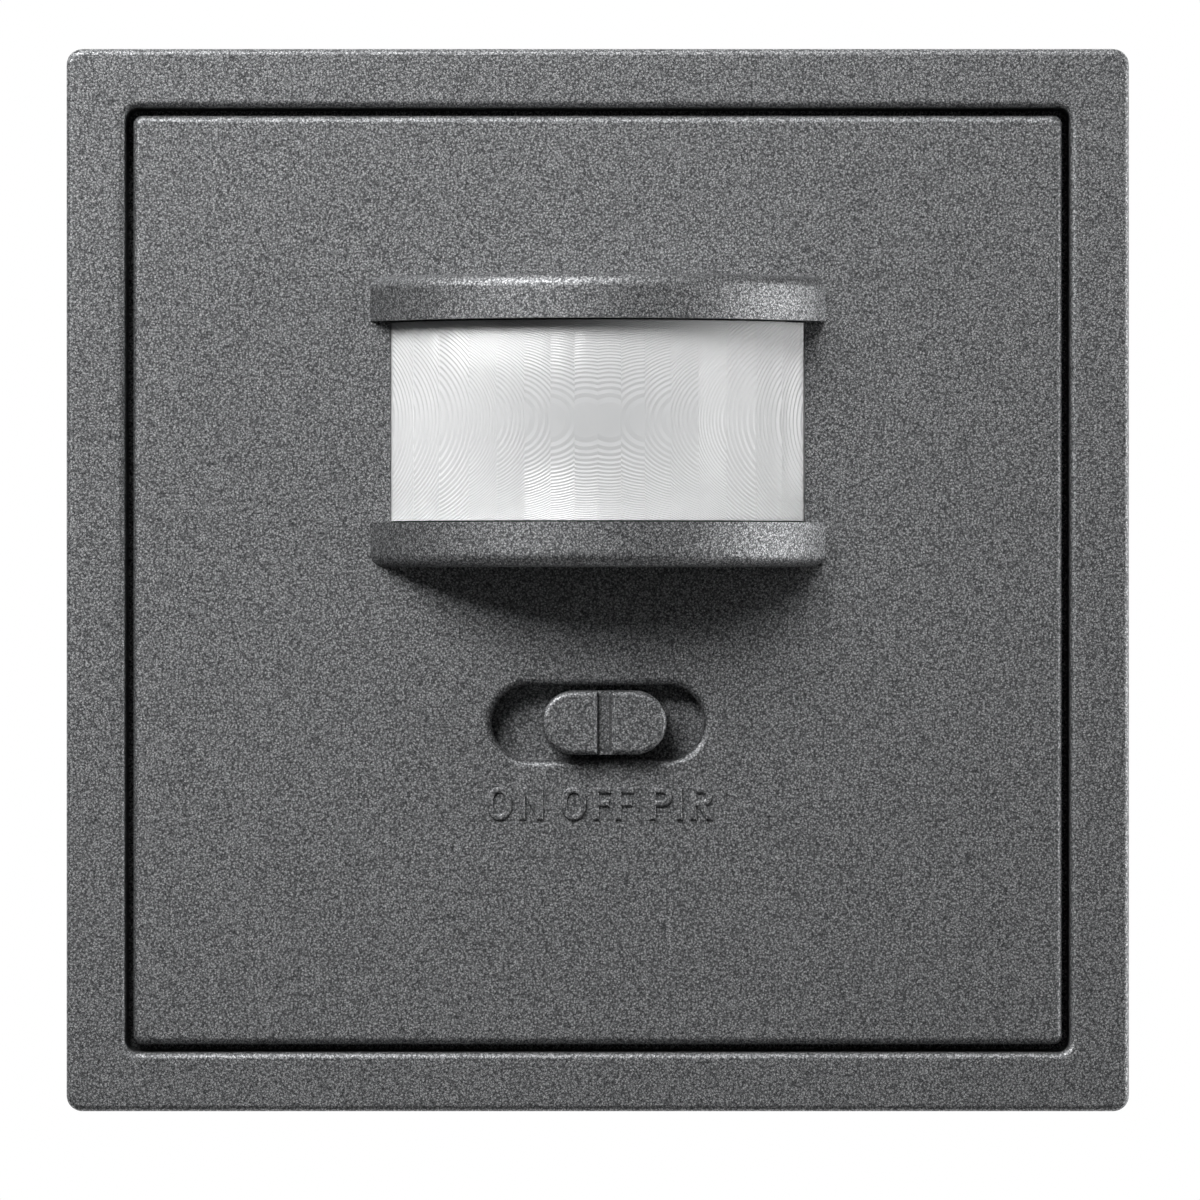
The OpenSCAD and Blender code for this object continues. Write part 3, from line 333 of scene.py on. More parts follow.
def stroke(t, where, a, b, width_mm):
    """1 on a straight stroke between two points (x, z) in mm, else 0."""
    start = Vector((a[0], 0, a[1])) * MM
    run = Vector((b[0] - a[0], 0, b[1] - a[1])) * MM
    off = t.vector("SUBTRACT", where, start)
    share = t.maths("DIVIDE", t.measure("DOT_PRODUCT", off, run), run.length_squared, clamp=True)
    aside = t.measure("DISTANCE", off, t.scaled(run, share))
    return t.maths("LESS_THAN", aside, width_mm * MM / 2)


def hoop(t, where, centre, radius_mm, width_mm):
    """1 on a circle around a point (x, z) in mm, else 0."""
    away = t.measure("DISTANCE", where, Vector((centre[0], 0, centre[1])) * MM)
    off = t.maths("ABSOLUTE", t.maths("SUBTRACT", away, radius_mm * MM))
    return t.maths("LESS_THAN", off, width_mm * MM / 2)


def terminal_marks():
    """Strokes of L, N and an arrow to the load over the three terminals, as read from behind."""
    shapes = {"line_terminal": [((0, 1), (0, 0)), ((0, 0), (1, 0))],
              "neutral_terminal": [((0, 0), (0, 1)), ((0, 1), (1, 0)), ((1, 0), (1, 1))],
              "load_terminal": [((0.5, 1), (0.5, 0)), ((0.5, 0), (0, 0.4)), ((0.5, 0), (1, 0.4))]}
    lines = []
    for node, strokes in shapes.items():
        low, high = box_mm(node)
        left = (low.x + high.x + MARK_W) / 2
        foot = high.z + MARK_UP
        lines += [[(left - s * MARK_W, foot + v * MARK_H) for s, v in ends] for ends in strokes]
    return lines


def housing(slot, colour):
    """Moulded plastic with printed terminal marks and faint ejector traces at the back."""
    t = tree_of(slot)
    skin, tint, gloss = moulded_skin(t, colour, rough=0.55, grain_mm=0.45, drift=0.12)
    flat = t.vector("MULTIPLY", t.place(), (1, 0, 1))
    on_back = t.maths("GREATER_THAN", t.axes(t.place())["Y"], (housing_high.y - BACK_SKIN) * MM)
    hoops = [hoop(t, flat, (0, 0), housing_high.x - RIM_IN, RIM_LINE)]
    for c, s in map(cos_sin, PIN_ANGLES):
        hoops.append(hoop(t, flat, (PIN_OUT * c, PIN_OUT * s), PIN_R, PIN_LINE))
    traces = t.maths("MULTIPLY", t.highest(hoops), on_back)
    strokes = [stroke(t, flat, a, b, MARK_LINE) for a, b in terminal_marks()]
    marks = t.maths("MULTIPLY", t.highest(strokes), on_back)
    tint = t.mix(t.maths("MULTIPLY", traces, TRACE_SHADE), tint, shade(colour, 0.5))
    tint = t.mix(t.maths("MULTIPLY", marks, MARK_COVER), tint, MARK_TINT)
    gloss = t.maths("SUBTRACT", gloss, t.maths("MULTIPLY", traces, TRACE_GLOSS))
    t.finish(Base_Color=tint, Roughness=gloss, Normal=t.bump(skin, 0.015))


# Lens sheet

SHADE_HALF_X, SHADE_HALF_Z = 13.0, 7.5     # half sizes of the painted shade around its middle, where the dark room shows through
SCATTER = 0.3            # how far light wanders inside the sheet


def lens_white(slot):
    """Milky sheet, darker around its middle: painted shade for the dark room behind it that shows through
    a little.
    """
    t = tree_of(slot)
    speck = t.noise(0.12)
    off = t.vector("SUBTRACT", t.place(), (0, 0, LENS_Z * MM))
    off = t.vector("MULTIPLY", off, (1 / (SHADE_HALF_X * MM), 0, 1 / (SHADE_HALF_Z * MM)))
    # Painted shade: the colour darkens towards the middle of the lens
    painted_shade = t.spread(t.measure("LENGTH", off), 0.15, 1.0, 0.0, 0.8)
    cloud = t.maths("MULTIPLY", t.noise(3.0, detail=3.0), 0.2)
    tint = t.ramp(t.maths("ADD", painted_shade, cloud), (0.0, (0.575, 0.58, 0.585)), (1.0, (0.75, 0.753, 0.756)))
    t.finish(Base_Color=tint, Roughness=t.between(speck, 0.18, 0.24), Specular_IOR_Level=0.4,
             Subsurface_Weight=1.0, Subsurface_Radius=(1, 1, 1), Subsurface_Scale=SCATTER * MM,
             Normal=t.bump(speck, 0.001))


# Plated metals

LINE_W = 0.08            # width of the drawing lines
LINE_STRETCH = 0.06      # their width over their length


def plated(slot, colour, rough, spangle_mm):
    """Plated sheet metal: faint spangle and fine drawing lines."""
    t = tree_of(slot)
    cell = t.first(t.cells(spangle_mm)["Color"])
    lines = t.noise(LINE_W, rough=0.6, where=t.vector("MULTIPLY", t.place(), (1, 1, LINE_STRETCH)))
    tint = t.ramp(t.weigh(cell, 0.4, lines, 0.6), (0.2, shade(colour, 0.9)), (0.8, shade(colour, 1.05)))
    gloss = t.spread(t.weigh(cell, 0.5, lines, 1.0), 0.3, 1.2, rough - 0.05, rough + 0.08)
    t.finish(Base_Color=tint, Metallic=1.0, Roughness=gloss, Normal=t.bump(lines, 0.002))


# Circuit boards

RUN_PITCH, RUN_W = 1.27, 0.4     # spacing and width of the copper runs
RUN_LONG = 9.0           # length of the stretches that hold a run or none
RUN_SHIFT = 0.37         # from lane to lane the stretches move on by this share of their length
RUN_SHARE = 0.45         # share of the stretches that hold a run
RUN_HIGH = 0.015         # how far the runs stand out


def copper_runs(t, along, across):
    """1 on straight copper runs along one axis of a circuit board, else 0."""
    axes = t.axes(t.place())
    lane = t.maths("DIVIDE", axes[across], RUN_PITCH * MM)
    number = t.maths("FLOOR", lane)
    stretch = t.weigh(axes[along], 1 / (RUN_LONG * MM), number, RUN_SHIFT)
    spot = t.add("CombineXYZ", {0: number, 1: t.maths("FLOOR", stretch)}).outputs[0]
    held = t.maths("LESS_THAN", t.add("TexWhiteNoise", {"Vector": spot}).outputs["Value"], RUN_SHARE)
    off = t.maths("ABSOLUTE", t.maths("SUBTRACT", t.maths("FRACT", lane), 0.5))
    return t.maths("MULTIPLY", held, t.maths("LESS_THAN", off, RUN_W / RUN_PITCH / 2))


def board(slot):
    """Solder-masked circuit board with copper runs showing through the mask."""
    t = tree_of(slot)
    runs = t.highest([copper_runs(t, "X", "Z"), copper_runs(t, "Z", "X")])
    weave = t.noise(0.5)
    mask = t.shades(weave, (0.018, 0.115, 0.045), (0.03, 0.15, 0.06))
    t.finish(Base_Color=t.mix(runs, mask, (0.055, 0.22, 0.09)), Roughness=t.between(weave, 0.25, 0.38),
             Normal=t.bump(runs, RUN_HIGH))


# Filter of the detector

def filter_pane(slot):
    """Dark coated filter."""
    t = tree_of(slot)
    cloud = t.noise(1.2)
    t.finish(Base_Color=t.shades(cloud, (0.03, 0.03, 0.036), (0.06, 0.058, 0.065)), Metallic=0.3,
             Roughness=t.between(cloud, 0.08, 0.14))


# A finish for each slot of the record

lacquer("anthracite_lacquer")
lens_white("lens_white")
housing("grey_housing", (0.2, 0.205, 0.21))
board("board_green")
filter_pane("filter_dark")
moulded("black_plastic", (0.03, 0.03, 0.033), rough=0.42)
moulded("light_plastic", (0.72, 0.72, 0.7), rough=0.48, grain_mm=0.4, drift=0.05)
moulded("phenolic_brown", (0.24, 0.13, 0.06), grain_mm=0.25, drift=0.25)
moulded("blue_plastic", (0.05, 0.13, 0.42), rough=0.3, grain_mm=0.3, depth_mm=0.003)
moulded("film_yellow", (0.75, 0.55, 0.12), rough=0.3, grain_mm=0.3, depth_mm=0.004)
moulded("sleeve_blue", (0.05, 0.07, 0.2), rough=0.28, grain_mm=0.5, depth_mm=0.003)
moulded("varistor_blue", (0.1, 0.26, 0.5), rough=0.35, grain_mm=0.8, depth_mm=0.02)
moulded("fuse_brown", (0.22, 0.07, 0.05), rough=0.35, grain_mm=0.3, depth_mm=0.004)
moulded("chip_tan", (0.55, 0.42, 0.28), grain_mm=0.1, depth_mm=0.003)
moulded("sensor_ceramic", (0.8, 0.62, 0.38), rough=0.4, grain_mm=0.15, depth_mm=0.003)
plated("zinc_steel", (0.6, 0.61, 0.63), rough=0.4, spangle_mm=0.9)
plated("nickel_steel", (0.7, 0.69, 0.66), rough=0.28, spangle_mm=0.8)
plated("contact_brass", (0.75, 0.58, 0.25), rough=0.3, spangle_mm=0.8)

for part in frame["record"]["subparts"]:
    for slot in frame["nodes"][part["node"]].material_slots:
        slot.material = finishes[part["material_slot"]]


# Grooved panes of the lens

HOOD_W = 34.7            # width of the hood where it meets the cover
HOOD_OUT = PLATE_Y - cover_low.y
HOOD_R = (HOOD_W ** 2 / 4 + HOOD_OUT ** 2) / (2 * HOOD_OUT)     # of an arc so wide that stands out so far
LENS_AXIS_Y = cover_low.y + HOOD_R       # upright axis of hood and lens
LENS_R = LENS_AXIS_Y - lens_low.y
LENS_HALF = 7.55         # half the height of a pane
PANE_EDGES = [0, 5.2, 10.65, 16.5, 23.15, 30.3, 38.45, 46.6, 54.2]   # degrees from the middle
# Where each pane's rings are centred, along the lens from its middle line
RING_CENTRES = [0.9, 3.7, 6.5, 9.7, 13.0, 15.7, 19.0, 21.5]
RING_FIRST = 1.33        # radius of the plain middle
# Growth of the squared radius from groove to groove: fine in the middle panes, coarse in the outer ones
RING_FINE, RING_COARSE, FINE_PANES = 2.3, 4.05, 5
RING_TURN = 3            # degrees of each chord
GROOVE_SHARE = 72.0      # a ring's growth of squared radius over its groove's depth
RISER = 0.45             # share of a ring's width that its inward flank takes
PANE_PROUD = 0.1         # how far the groove tips stand out from the lens sheet
PANE_SUNK = 0.5          # how far the panes reach into it
SEAM_NEAR = 0.002        # corners this near to the seam of two panes belong to it
WELD = 0.0008            # corners this near to each other become one


def clip(poly, axis, limit, keep_low):
    """Cuts a flat polygon of (u, v, h) corners along one straight limit."""
    out = []
    for i, b in enumerate(poly):
        a = poly[i - 1]
        a_in = a[axis] <= limit if keep_low else a[axis] >= limit
        b_in = b[axis] <= limit if keep_low else b[axis] >= limit
        if a_in != b_in:
            f = (limit - a[axis]) / (b[axis] - a[axis])
            out.append(tuple(p + (q - p) * f for p, q in zip(a, b)))
        if b_in:
            out.append(b)
    return out


def ring_bands(reach, step):
    """The plain middle and the flanks of all rings: inner and outer radius, and the height at each."""
    bands = [(0.0, RING_FIRST, 0.0, 0.0)]
    depth = step / GROOVE_SHARE
    n = 0
    while bands[-1][1] < reach:
        r0 = math.sqrt(RING_FIRST ** 2 + n * step)
        r1 = math.sqrt(RING_FIRST ** 2 + (n + 1) * step)
        turn = r1 - RISER * (r1 - r0)
        bands += [(r0, turn, 0.0, -depth), (turn, r1, -depth, 0.0)]
        n += 1
    return bands


def pane_faces(u0, u1, centre, step):
    """The grooved front of one pane, as polygons with corners (u, v, h)."""
    reach = math.hypot(max(abs(u0 - centre), abs(u1 - centre)), LENS_HALF)
    ways = [cos_sin(angle) for angle in range(0, 360, RING_TURN)]
    limits = ((0, u1, True), (0, u0, False), (1, LENS_HALF, True), (1, -LENS_HALF, False))
    faces = []
    for ra, rb, ha, hb in ring_bands(reach, step):
        for (c0, s0), (c1, s1) in zip(ways, ways[1:] + ways[:1]):
            poly = [(centre + ra * c0, ra * s0, ha), (centre + rb * c0, rb * s0, hb),
                    (centre + rb * c1, rb * s1, hb), (centre + ra * c1, ra * s1, ha)]
            if ra == 0.0:
                poly = poly[:3]
            us, vs = [p[0] for p in poly], [p[1] for p in poly]
            if max(us) <= u0 or min(us) >= u1 or max(vs) <= -LENS_HALF or min(vs) >= LENS_HALF:
                continue
            for axis, limit, keep_low in limits:
                poly = clip(poly, axis, limit, keep_low)
            if len(poly) >= 3:
                faces.append(poly)
    return faces


def on_lens(u, v, h):
    """A pane's corner in the object's frame, in metres."""
    r = LENS_R + PANE_PROUD + h
    a = u / LENS_R
    return Vector((r * math.sin(a), LENS_AXIS_Y - r * math.cos(a), LENS_Z + v)) * MM


def pane_mesh(u0, u1, centre, step):
    """One pane's front as a mesh that faces outwards."""
    pane = bmesh.new()
    for poly in pane_faces(u0, u1, centre, step):
        pane.faces.new([pane.verts.new(on_lens(*p)) for p in poly])
    bmesh.ops.remove_doubles(pane, verts=pane.verts, dist=WELD * MM)
    bmesh.ops.recalc_face_normals(pane, faces=pane.faces)
    if sum(f.normal.y * f.calc_area() for f in pane.faces) > 0:
        bmesh.ops.reverse_faces(pane, faces=pane.faces)
    return mesh_from("pane", pane)


def along_lens(point):
    """How far along the lens a point lies from its middle line, in mm."""
    return math.atan2(point.x, LENS_AXIS_Y * MM - point.y) * LENS_R


def sink(point):
    """The point of the panes' back that lies behind a point of their front."""
    flat = Vector((point.x, point.y - LENS_AXIS_Y * MM))
    flat *= (LENS_R - PANE_SUNK) * MM / flat.length
    return Vector((flat.x, flat.y + LENS_AXIS_Y * MM, point.z))


def height(corner):
    """Order of corners from the foot up."""
    return corner.co.z


def across(corner):
    """Order of corners from left to right."""
    return corner.co.x


def seam_sides(whole, u):
    """The open edges of the two panes that meet at u, as corners in rising order."""
    sides = (set(), set())
    for edge in whole.edges:
        if edge.is_boundary and all(abs(along_lens(v.co) - u) < SEAM_NEAR for v in edge.verts):
            middle = edge.link_faces[0].calc_center_median()
            sides[int(along_lens(middle) > u)].update(edge.verts)
    return [sorted(side, key=height) for side in sides]


def stitch(whole, one, two, place):
    """Joins two rows of corners, both in the order of place, with a strip of triangles."""
    a, b = 0, 0
    while a + 1 < len(one) or b + 1 < len(two):
        if b + 1 == len(two) or (a + 1 < len(one) and place(one[a + 1]) < place(two[b + 1])):
            corners = (one[a], one[a + 1], two[b])
            a += 1
        else:
            corners = (one[a], two[b + 1], two[b])
            b += 1
        if len(set(corners)) == 3:
            whole.faces.new(corners)


def close_back(whole, end_u):
    """Walls from the rim of the panes to their back, and the back itself."""
    rim = [e for e in whole.edges if e.is_boundary]
    walls = bmesh.ops.extrude_edge_only(whole, edges=rim)["geom"]
    back = [g for g in walls if isinstance(g, bmesh.types.BMVert)]
    for corner in back:
        upper = corner.co.z > LENS_Z * MM
        if abs(along_lens(corner.co)) > end_u - SEAM_NEAR:
            corner.co.z = (LENS_Z + (LENS_HALF if upper else -LENS_HALF)) * MM
        corner.co = sink(corner.co)
    bmesh.ops.remove_doubles(whole, verts=back, dist=WELD * MM)
    left_open = {corner for e in whole.edges if e.is_boundary for corner in e.verts}
    top_row = sorted((c for c in left_open if height(c) > LENS_Z * MM), key=across)
    low_row = sorted((c for c in left_open if height(c) < LENS_Z * MM), key=across)
    stitch(whole, low_row, top_row, across)


def lens_panes():
    """All panes as one closed grooved skin, so that light can wander from pane to pane."""
    whole = bmesh.new()
    edges = [math.radians(angle) * LENS_R for angle in PANE_EDGES]
    for side in (-1, 1):
        for k, ring_centre in enumerate(RING_CENTRES):
            u0, u1 = sorted((side * edges[k], side * edges[k + 1]))
            step = RING_FINE if k < FINE_PANES else RING_COARSE
            pane = pane_mesh(u0, u1, side * ring_centre, step)
            whole.from_mesh(pane)
            bpy.data.meshes.remove(pane)
    middle_seam = [corner for corner in whole.verts if abs(across(corner)) < SEAM_NEAR * MM]
    bmesh.ops.remove_doubles(whole, verts=middle_seam, dist=WELD * MM)
    for u in edges[1:-1]:
        stitch(whole, *seam_sides(whole, -u), height)
        stitch(whole, *seam_sides(whole, u), height)
    close_back(whole, edges[-1])
    bmesh.ops.dissolve_degenerate(whole, edges=whole.edges, dist=WELD * MM)
    bmesh.ops.recalc_face_normals(whole, faces=whole.faces)
    add_piece("lens_panes", mesh_from("lens_panes", whole), "device", "lens_white")


lens_panes()


# Raised words under the slide

LETTER_LOW, LETTER_TOP = -18.25, -15.80
LETTER_MID = (LETTER_LOW + LETTER_TOP) / 2
STROKE = 0.42
LETTER_OUT = 0.25        # how far the letters stand out
LETTER_EDGE = 0.14       # rounding of their edges
EDGE_INSET = 0.8         # share of the rounding by which the outlines are drawn in
O_OVER = 0.03            # how far O reaches past the other letters at top and foot
O_POWER = 2.2            # 2 is an ellipse, more is squarer
O_STEPS, BOWL_STEPS = 56, 20
N_STROKE = 0.95 * STROKE
N_CORNER = 1.1 * N_STROKE        # width of the two corners where stem and diagonal meet
N_NOTCH = 0.62           # from top and foot to the inner corners
F_ARM_Z, F_ARM_SHORT = LETTER_MID + 0.02, 0.1    # lower arm of F: height, and how much shorter it is
BOWL_LOW = LETTER_LOW + 1.02     # lower edge of the bowls of P and R
BOWL_R = (LETTER_TOP - BOWL_LOW) / 2
R_BOWL_END = -68         # angle at which the bowl of R meets its leg
R_BOWL_SHORT = 0.06      # how much further the leg reaches than the bowl
R_FOOT = 1.15 * STROKE   # width of the leg's foot
R_KNEE = 0.75 * STROKE   # how far left of the bowl's turn the leg starts


def arc(cx, cz, rx, rz, start, end, count, power=2.0):
    """Points on an ellipse, or with a higher power on a squarer curve, between two angles."""
    points = []
    for i in range(count + 1):
        c, s = cos_sin(start + (end - start) * i / count)
        points.append((cx + rx * math.copysign(abs(c) ** (2 / power), c),
                       cz + rz * math.copysign(abs(s) ** (2 / power), s)))
    return points


def letter_o(x0, x1):
    rx, rz = (x1 - x0) / 2, (LETTER_TOP - LETTER_LOW) / 2 + O_OVER
    return [arc(x0 + rx, LETTER_MID, rx - inset, rz - inset, 0, 360, O_STEPS, O_POWER)[:-1]
            for inset in (0, STROKE)]


def letter_n(x0, x1):
    low, top, s = LETTER_LOW, LETTER_TOP, N_STROKE
    return [[(x0, low), (x0, top), (x0 + N_CORNER, top), (x1 - s, low + N_NOTCH), (x1 - s, top), (x1, top),
             (x1, low), (x1 - N_CORNER, low), (x0 + s, top - N_NOTCH), (x0 + s, low)]]


def letter_f(x0, x1):
    low, top, s = LETTER_LOW, LETTER_TOP, STROKE
    arm_top, arm_low, arm_x = F_ARM_Z + s / 2, F_ARM_Z - s / 2, x1 - F_ARM_SHORT
    return [[(x0, low), (x0, top), (x1, top), (x1, top - s), (x0 + s, top - s), (x0 + s, arm_top),
             (arm_x, arm_top), (arm_x, arm_low), (x0 + s, arm_low), (x0 + s, low)]]


def letter_i(x0, x1):
    return [[(x0, LETTER_LOW), (x0, LETTER_TOP), (x1, LETTER_TOP), (x1, LETTER_LOW)]]


def bowl(x0, x1, end_angle, leg):
    """Stem and bowl of P and R: the bowl turns to the end angle, then the outline follows the leg."""
    turn_x, turn_z = x1 - BOWL_R, LETTER_TOP - BOWL_R
    stem_x = x0 + STROKE
    hole_r = BOWL_R - STROKE
    outer = [(x0, LETTER_LOW), (x0, LETTER_TOP)]
    outer += arc(turn_x, turn_z, BOWL_R, BOWL_R, 90, end_angle, BOWL_STEPS) + leg
    outer += [(stem_x, BOWL_LOW), (stem_x, LETTER_LOW)]
    hole = [(stem_x, LETTER_TOP - STROKE)]
    hole += arc(turn_x, turn_z, hole_r, hole_r, 90, -90, BOWL_STEPS)
    hole += [(stem_x, BOWL_LOW + STROKE)]
    return [outer, hole]


def letter_p(x0, x1):
    return bowl(x0, x1, -90, [])


def letter_r(x0, x1):
    bowl_x1 = x1 - R_BOWL_SHORT
    leg = [(x1, LETTER_LOW), (x1 - R_FOOT, LETTER_LOW), (bowl_x1 - BOWL_R - R_KNEE, BOWL_LOW)]
    return bowl(x0, bowl_x1, R_BOWL_END, leg)


# ON, OFF and PIR: each letter with its left and right end
WORDS = ((letter_o, -8.44, -6.58), (letter_n, -5.94, -4.18),
         (letter_o, -2.80, -0.92), (letter_f, -0.36, 0.94), (letter_f, 1.36, 2.69),
         (letter_p, 3.98, 5.61), (letter_i, 6.04, 6.42), (letter_r, 7.07, 8.71))


def legend():
    """The words as one mesh, drawn as a flat curve with rounded edges and set upright on the cover."""
    data = bpy.data.curves.new("legend", "CURVE")
    data.dimensions = "2D"
    data.fill_mode = "BOTH"
    data.extrude = (LETTER_OUT - LETTER_EDGE) * MM
    data.bevel_depth = LETTER_EDGE * MM
    data.bevel_resolution = 5
    data.offset = -EDGE_INSET * LETTER_EDGE * MM
    for letter, x0, x1 in WORDS:
        for outline in letter(x0, x1):
            line = data.splines.new("POLY")
            line.points.add(len(outline) - 1)
            for point, (x, z) in zip(line.points, outline):
                point.co = (x * MM, z * MM, 0, 1)
            line.use_cyclic_u = True
    drawn = add_object("legend_curve", data)
    ready = drawn.evaluated_get(bpy.context.evaluated_depsgraph_get())
    mesh = bpy.data.meshes.new_from_object(ready)
    bpy.data.objects.remove(drawn)
    mesh.transform(Matrix.Translation((0, PLATE_Y * MM, 0)) @ Matrix.Rotation(math.radians(90), 4, "X"))
    mesh.shade_flat()
    add_piece("mode_legend", mesh, "device", "anthracite_lacquer")


legend()


# Drafted walls and rounded edges of the knob's grip groove

GROOVE_HALF = 0.55       # half the groove's width
GROOVE_DEEP = 0.7
GROOVE_ROUND = 0.16      # rounding of its edges, in place of the chamfer's corner
GROOVE_LIP = 0.05        # how far the rounded edges stand out from the knob's front
GROOVE_DRAFT = 0.18      # how far each wall leans in at the floor
GROOVE_LONG = 2.03       # half its length between the knob's rounded sides
ROUND_END, ROUND_STEP = 135, 15  # degrees that the rounding turns, and of each chord
TRIM_SUNK = 0.05         # how far the trim reaches under the groove's floor


def grip_section():
    """Section of the right wall: x from the groove's middle, y from the knob's front."""
    edge = [(GROOVE_HALF + GROOVE_ROUND * (1 - c), GROOVE_ROUND * (1 - s) - GROOVE_LIP)
            for c, s in map(cos_sin, range(0, ROUND_END + 1, ROUND_STEP))]
    foot = GROOVE_HALF - GROOVE_DRAFT
    behind = GROOVE_HALF + 2 * GROOVE_ROUND
    under = GROOVE_DEEP + TRIM_SUNK
    return [(foot, GROOVE_DEEP)] + edge + [(behind, GROOVE_ROUND), (behind, under), (foot, under)]


def grip_trim():
    """Both walls of the groove, as one piece that moves with the knob."""
    low, high = box_mm("slide_knob")
    middle = (low + high) / 2
    whole = bmesh.new()
    for side in (-1, 1):
        rings = []
        for end in (-GROOVE_LONG, GROOVE_LONG):
            corners = [Vector((middle.x + side * x, low.y + y, middle.z + end)) for x, y in grip_section()]
            rings.append([whole.verts.new(corner * MM) for corner in corners])
        closed_loft(whole, rings)
    bmesh.ops.recalc_face_normals(whole, faces=whole.faces)
    add_piece("grip_trim", mesh_from("grip_trim", whole), "slide", "anthracite_lacquer")


grip_trim()


# Wiring label on top of the insert's housing, read from behind

# Places on it are s to the right along the round side and v up to the front, from its middle
LABEL_HALF_S, LABEL_HALF_V = 13.0, 7.0
LABEL_CORNER = 1.5
LABEL_STEPS = 40
LABEL_THICK, LABEL_SUNK = 0.06, 0.05     # how far the label stands out and reaches in
INK_THICK, INK_SUNK = 0.03, 0.02         # the same for the ink on the label
INK_W = 0.35
INK_STEP = 0.8           # about the length of a line's straight stretches, which follow the round side
UNIT_HALF_S, UNIT_HALF_V = 4.0, 2.6      # box that stands for the switch
CONTACT_HALF, CONTACT_V = 2.6, 0.5       # the contact in it: half its length, and its place
LEVER_S, LEVER_END_S, LEVER_UP = -0.8, 1.2, 1.0      # its open lever: both ends, and how far it is up
LAMP_S, LAMP_R = 8.6, 1.7
LAMP_TURN = 15           # degrees of each chord of its circle
WIRE_S, WIRE_V = -9.8, 4.4       # where the two wires start
FEED_S = -2.4            # where the live wire enters the switch
NAME_S, NAME_HALF = -11.6, 1.0   # letters beside the wires: left end, and half their height
L_WIDE, N_WIDE = 1.1, 1.2


def on_housing(s, v, out):
    """A point on the housing's round top, in metres."""
    r = housing_high.z + out
    a = s / housing_high.z
    middle_y = (housing_low.y + housing_high.y) / 2
    return Vector((-r * math.sin(a), middle_y - v, r * math.cos(a))) * MM


def sheet_piece(name, strips, low_out, high_out, slot):
    """Closed thin sheets on the housing; a strip is a list of point pairs (s, v)."""
    whole = bmesh.new()
    for strip in strips:
        rings = []
        for a, b in strip:
            corners = ((a, low_out), (b, low_out), (b, high_out), (a, high_out))
            rings.append([whole.verts.new(on_housing(*point, out)) for point, out in corners])
        closed_loft(whole, rings)
    bmesh.ops.recalc_face_normals(whole, faces=whole.faces)
    add_piece(name, mesh_from(name, whole), "device", slot)


def label_sheet():
    """The label with its round corners, as a strip of point pairs."""
    strip = []
    for i in range(LABEL_STEPS + 1):
        s = LABEL_HALF_S * cos_sin(90 * (2 * i / LABEL_STEPS - 1))[1]
        over = max(0.0, abs(s) - (LABEL_HALF_S - LABEL_CORNER))
        v = LABEL_HALF_V - LABEL_CORNER + math.sqrt(max(0.0, LABEL_CORNER ** 2 - over ** 2))
        strip.append(((s, -v), (s, v)))
    return strip


def ink_line(points):
    """A drawn line of even width, as a strip of point pairs."""
    fine = []
    for (s0, v0), (s1, v1) in zip(points, points[1:]):
        steps = max(1, int(math.hypot(s1 - s0, v1 - v0) / INK_STEP))
        fine += [(s0 + (s1 - s0) * i / steps, v0 + (v1 - v0) * i / steps) for i in range(steps)]
    fine.append(points[-1])
    strip = []
    for i, (s, v) in enumerate(fine):
        before, after = fine[max(0, i - 1)], fine[min(len(fine) - 1, i + 1)]
        way = Vector((after[0] - before[0], after[1] - before[1])).normalized() * INK_W / 2
        strip.append(((s - way.y, v + way.x), (s + way.y, v - way.x)))
    return strip


def switch_symbol():
    """A box with an open contact in it."""
    s, v = UNIT_HALF_S, UNIT_HALF_V
    box = [(-s, -v), (s, -v), (s, v), (-s, v), (-s, -v)]
    lever = [(-CONTACT_HALF, CONTACT_V), (LEVER_S, CONTACT_V), (LEVER_END_S, CONTACT_V + LEVER_UP)]
    return [box, lever, [(LEVER_END_S, CONTACT_V), (CONTACT_HALF, CONTACT_V)]]


def lamp_symbol():
    """A circle with a cross in it."""
    circle = [(LAMP_S + LAMP_R * c, LAMP_R * s) for c, s in map(cos_sin, range(0, 361, LAMP_TURN))]
    reach = LAMP_R * math.sqrt(0.5)
    return [circle] + [[(LAMP_S - reach, -rise), (LAMP_S + reach, rise)] for rise in (reach, -reach)]


def wires():
    """Live wire to the switch, neutral wire to lamp and switch, and the wire between the two."""
    live = [(WIRE_S, WIRE_V), (FEED_S, WIRE_V), (FEED_S, UNIT_HALF_V)]
    neutral = [(WIRE_S, -WIRE_V), (LAMP_S, -WIRE_V), (LAMP_S, -LAMP_R)]
    return [live, neutral, [(0, -UNIT_HALF_V), (0, -WIRE_V)], [(UNIT_HALF_S, 0), (LAMP_S - LAMP_R, 0)]]


def wire_names():
    """L and N at the start of the two wires."""
    low, top = WIRE_V - NAME_HALF, WIRE_V + NAME_HALF
    right = NAME_S + N_WIDE
    name_l = [(NAME_S, top), (NAME_S, low), (NAME_S + L_WIDE, low)]
    diagonal = [(NAME_S, -low), (right, -top)]
    return [name_l, diagonal] + [[(s, -top), (s, -low)] for s in (NAME_S, right)]


sheet_piece("housing_label", [label_sheet()], -LABEL_SUNK, LABEL_THICK, "light_plastic")
drawing = switch_symbol() + lamp_symbol() + wires() + wire_names()
sheet_piece("label_marks", [ink_line(line) for line in drawing], LABEL_THICK - INK_SUNK,
            LABEL_THICK + INK_THICK, "black_plastic")


# Lamps of the studio, in metres and watts

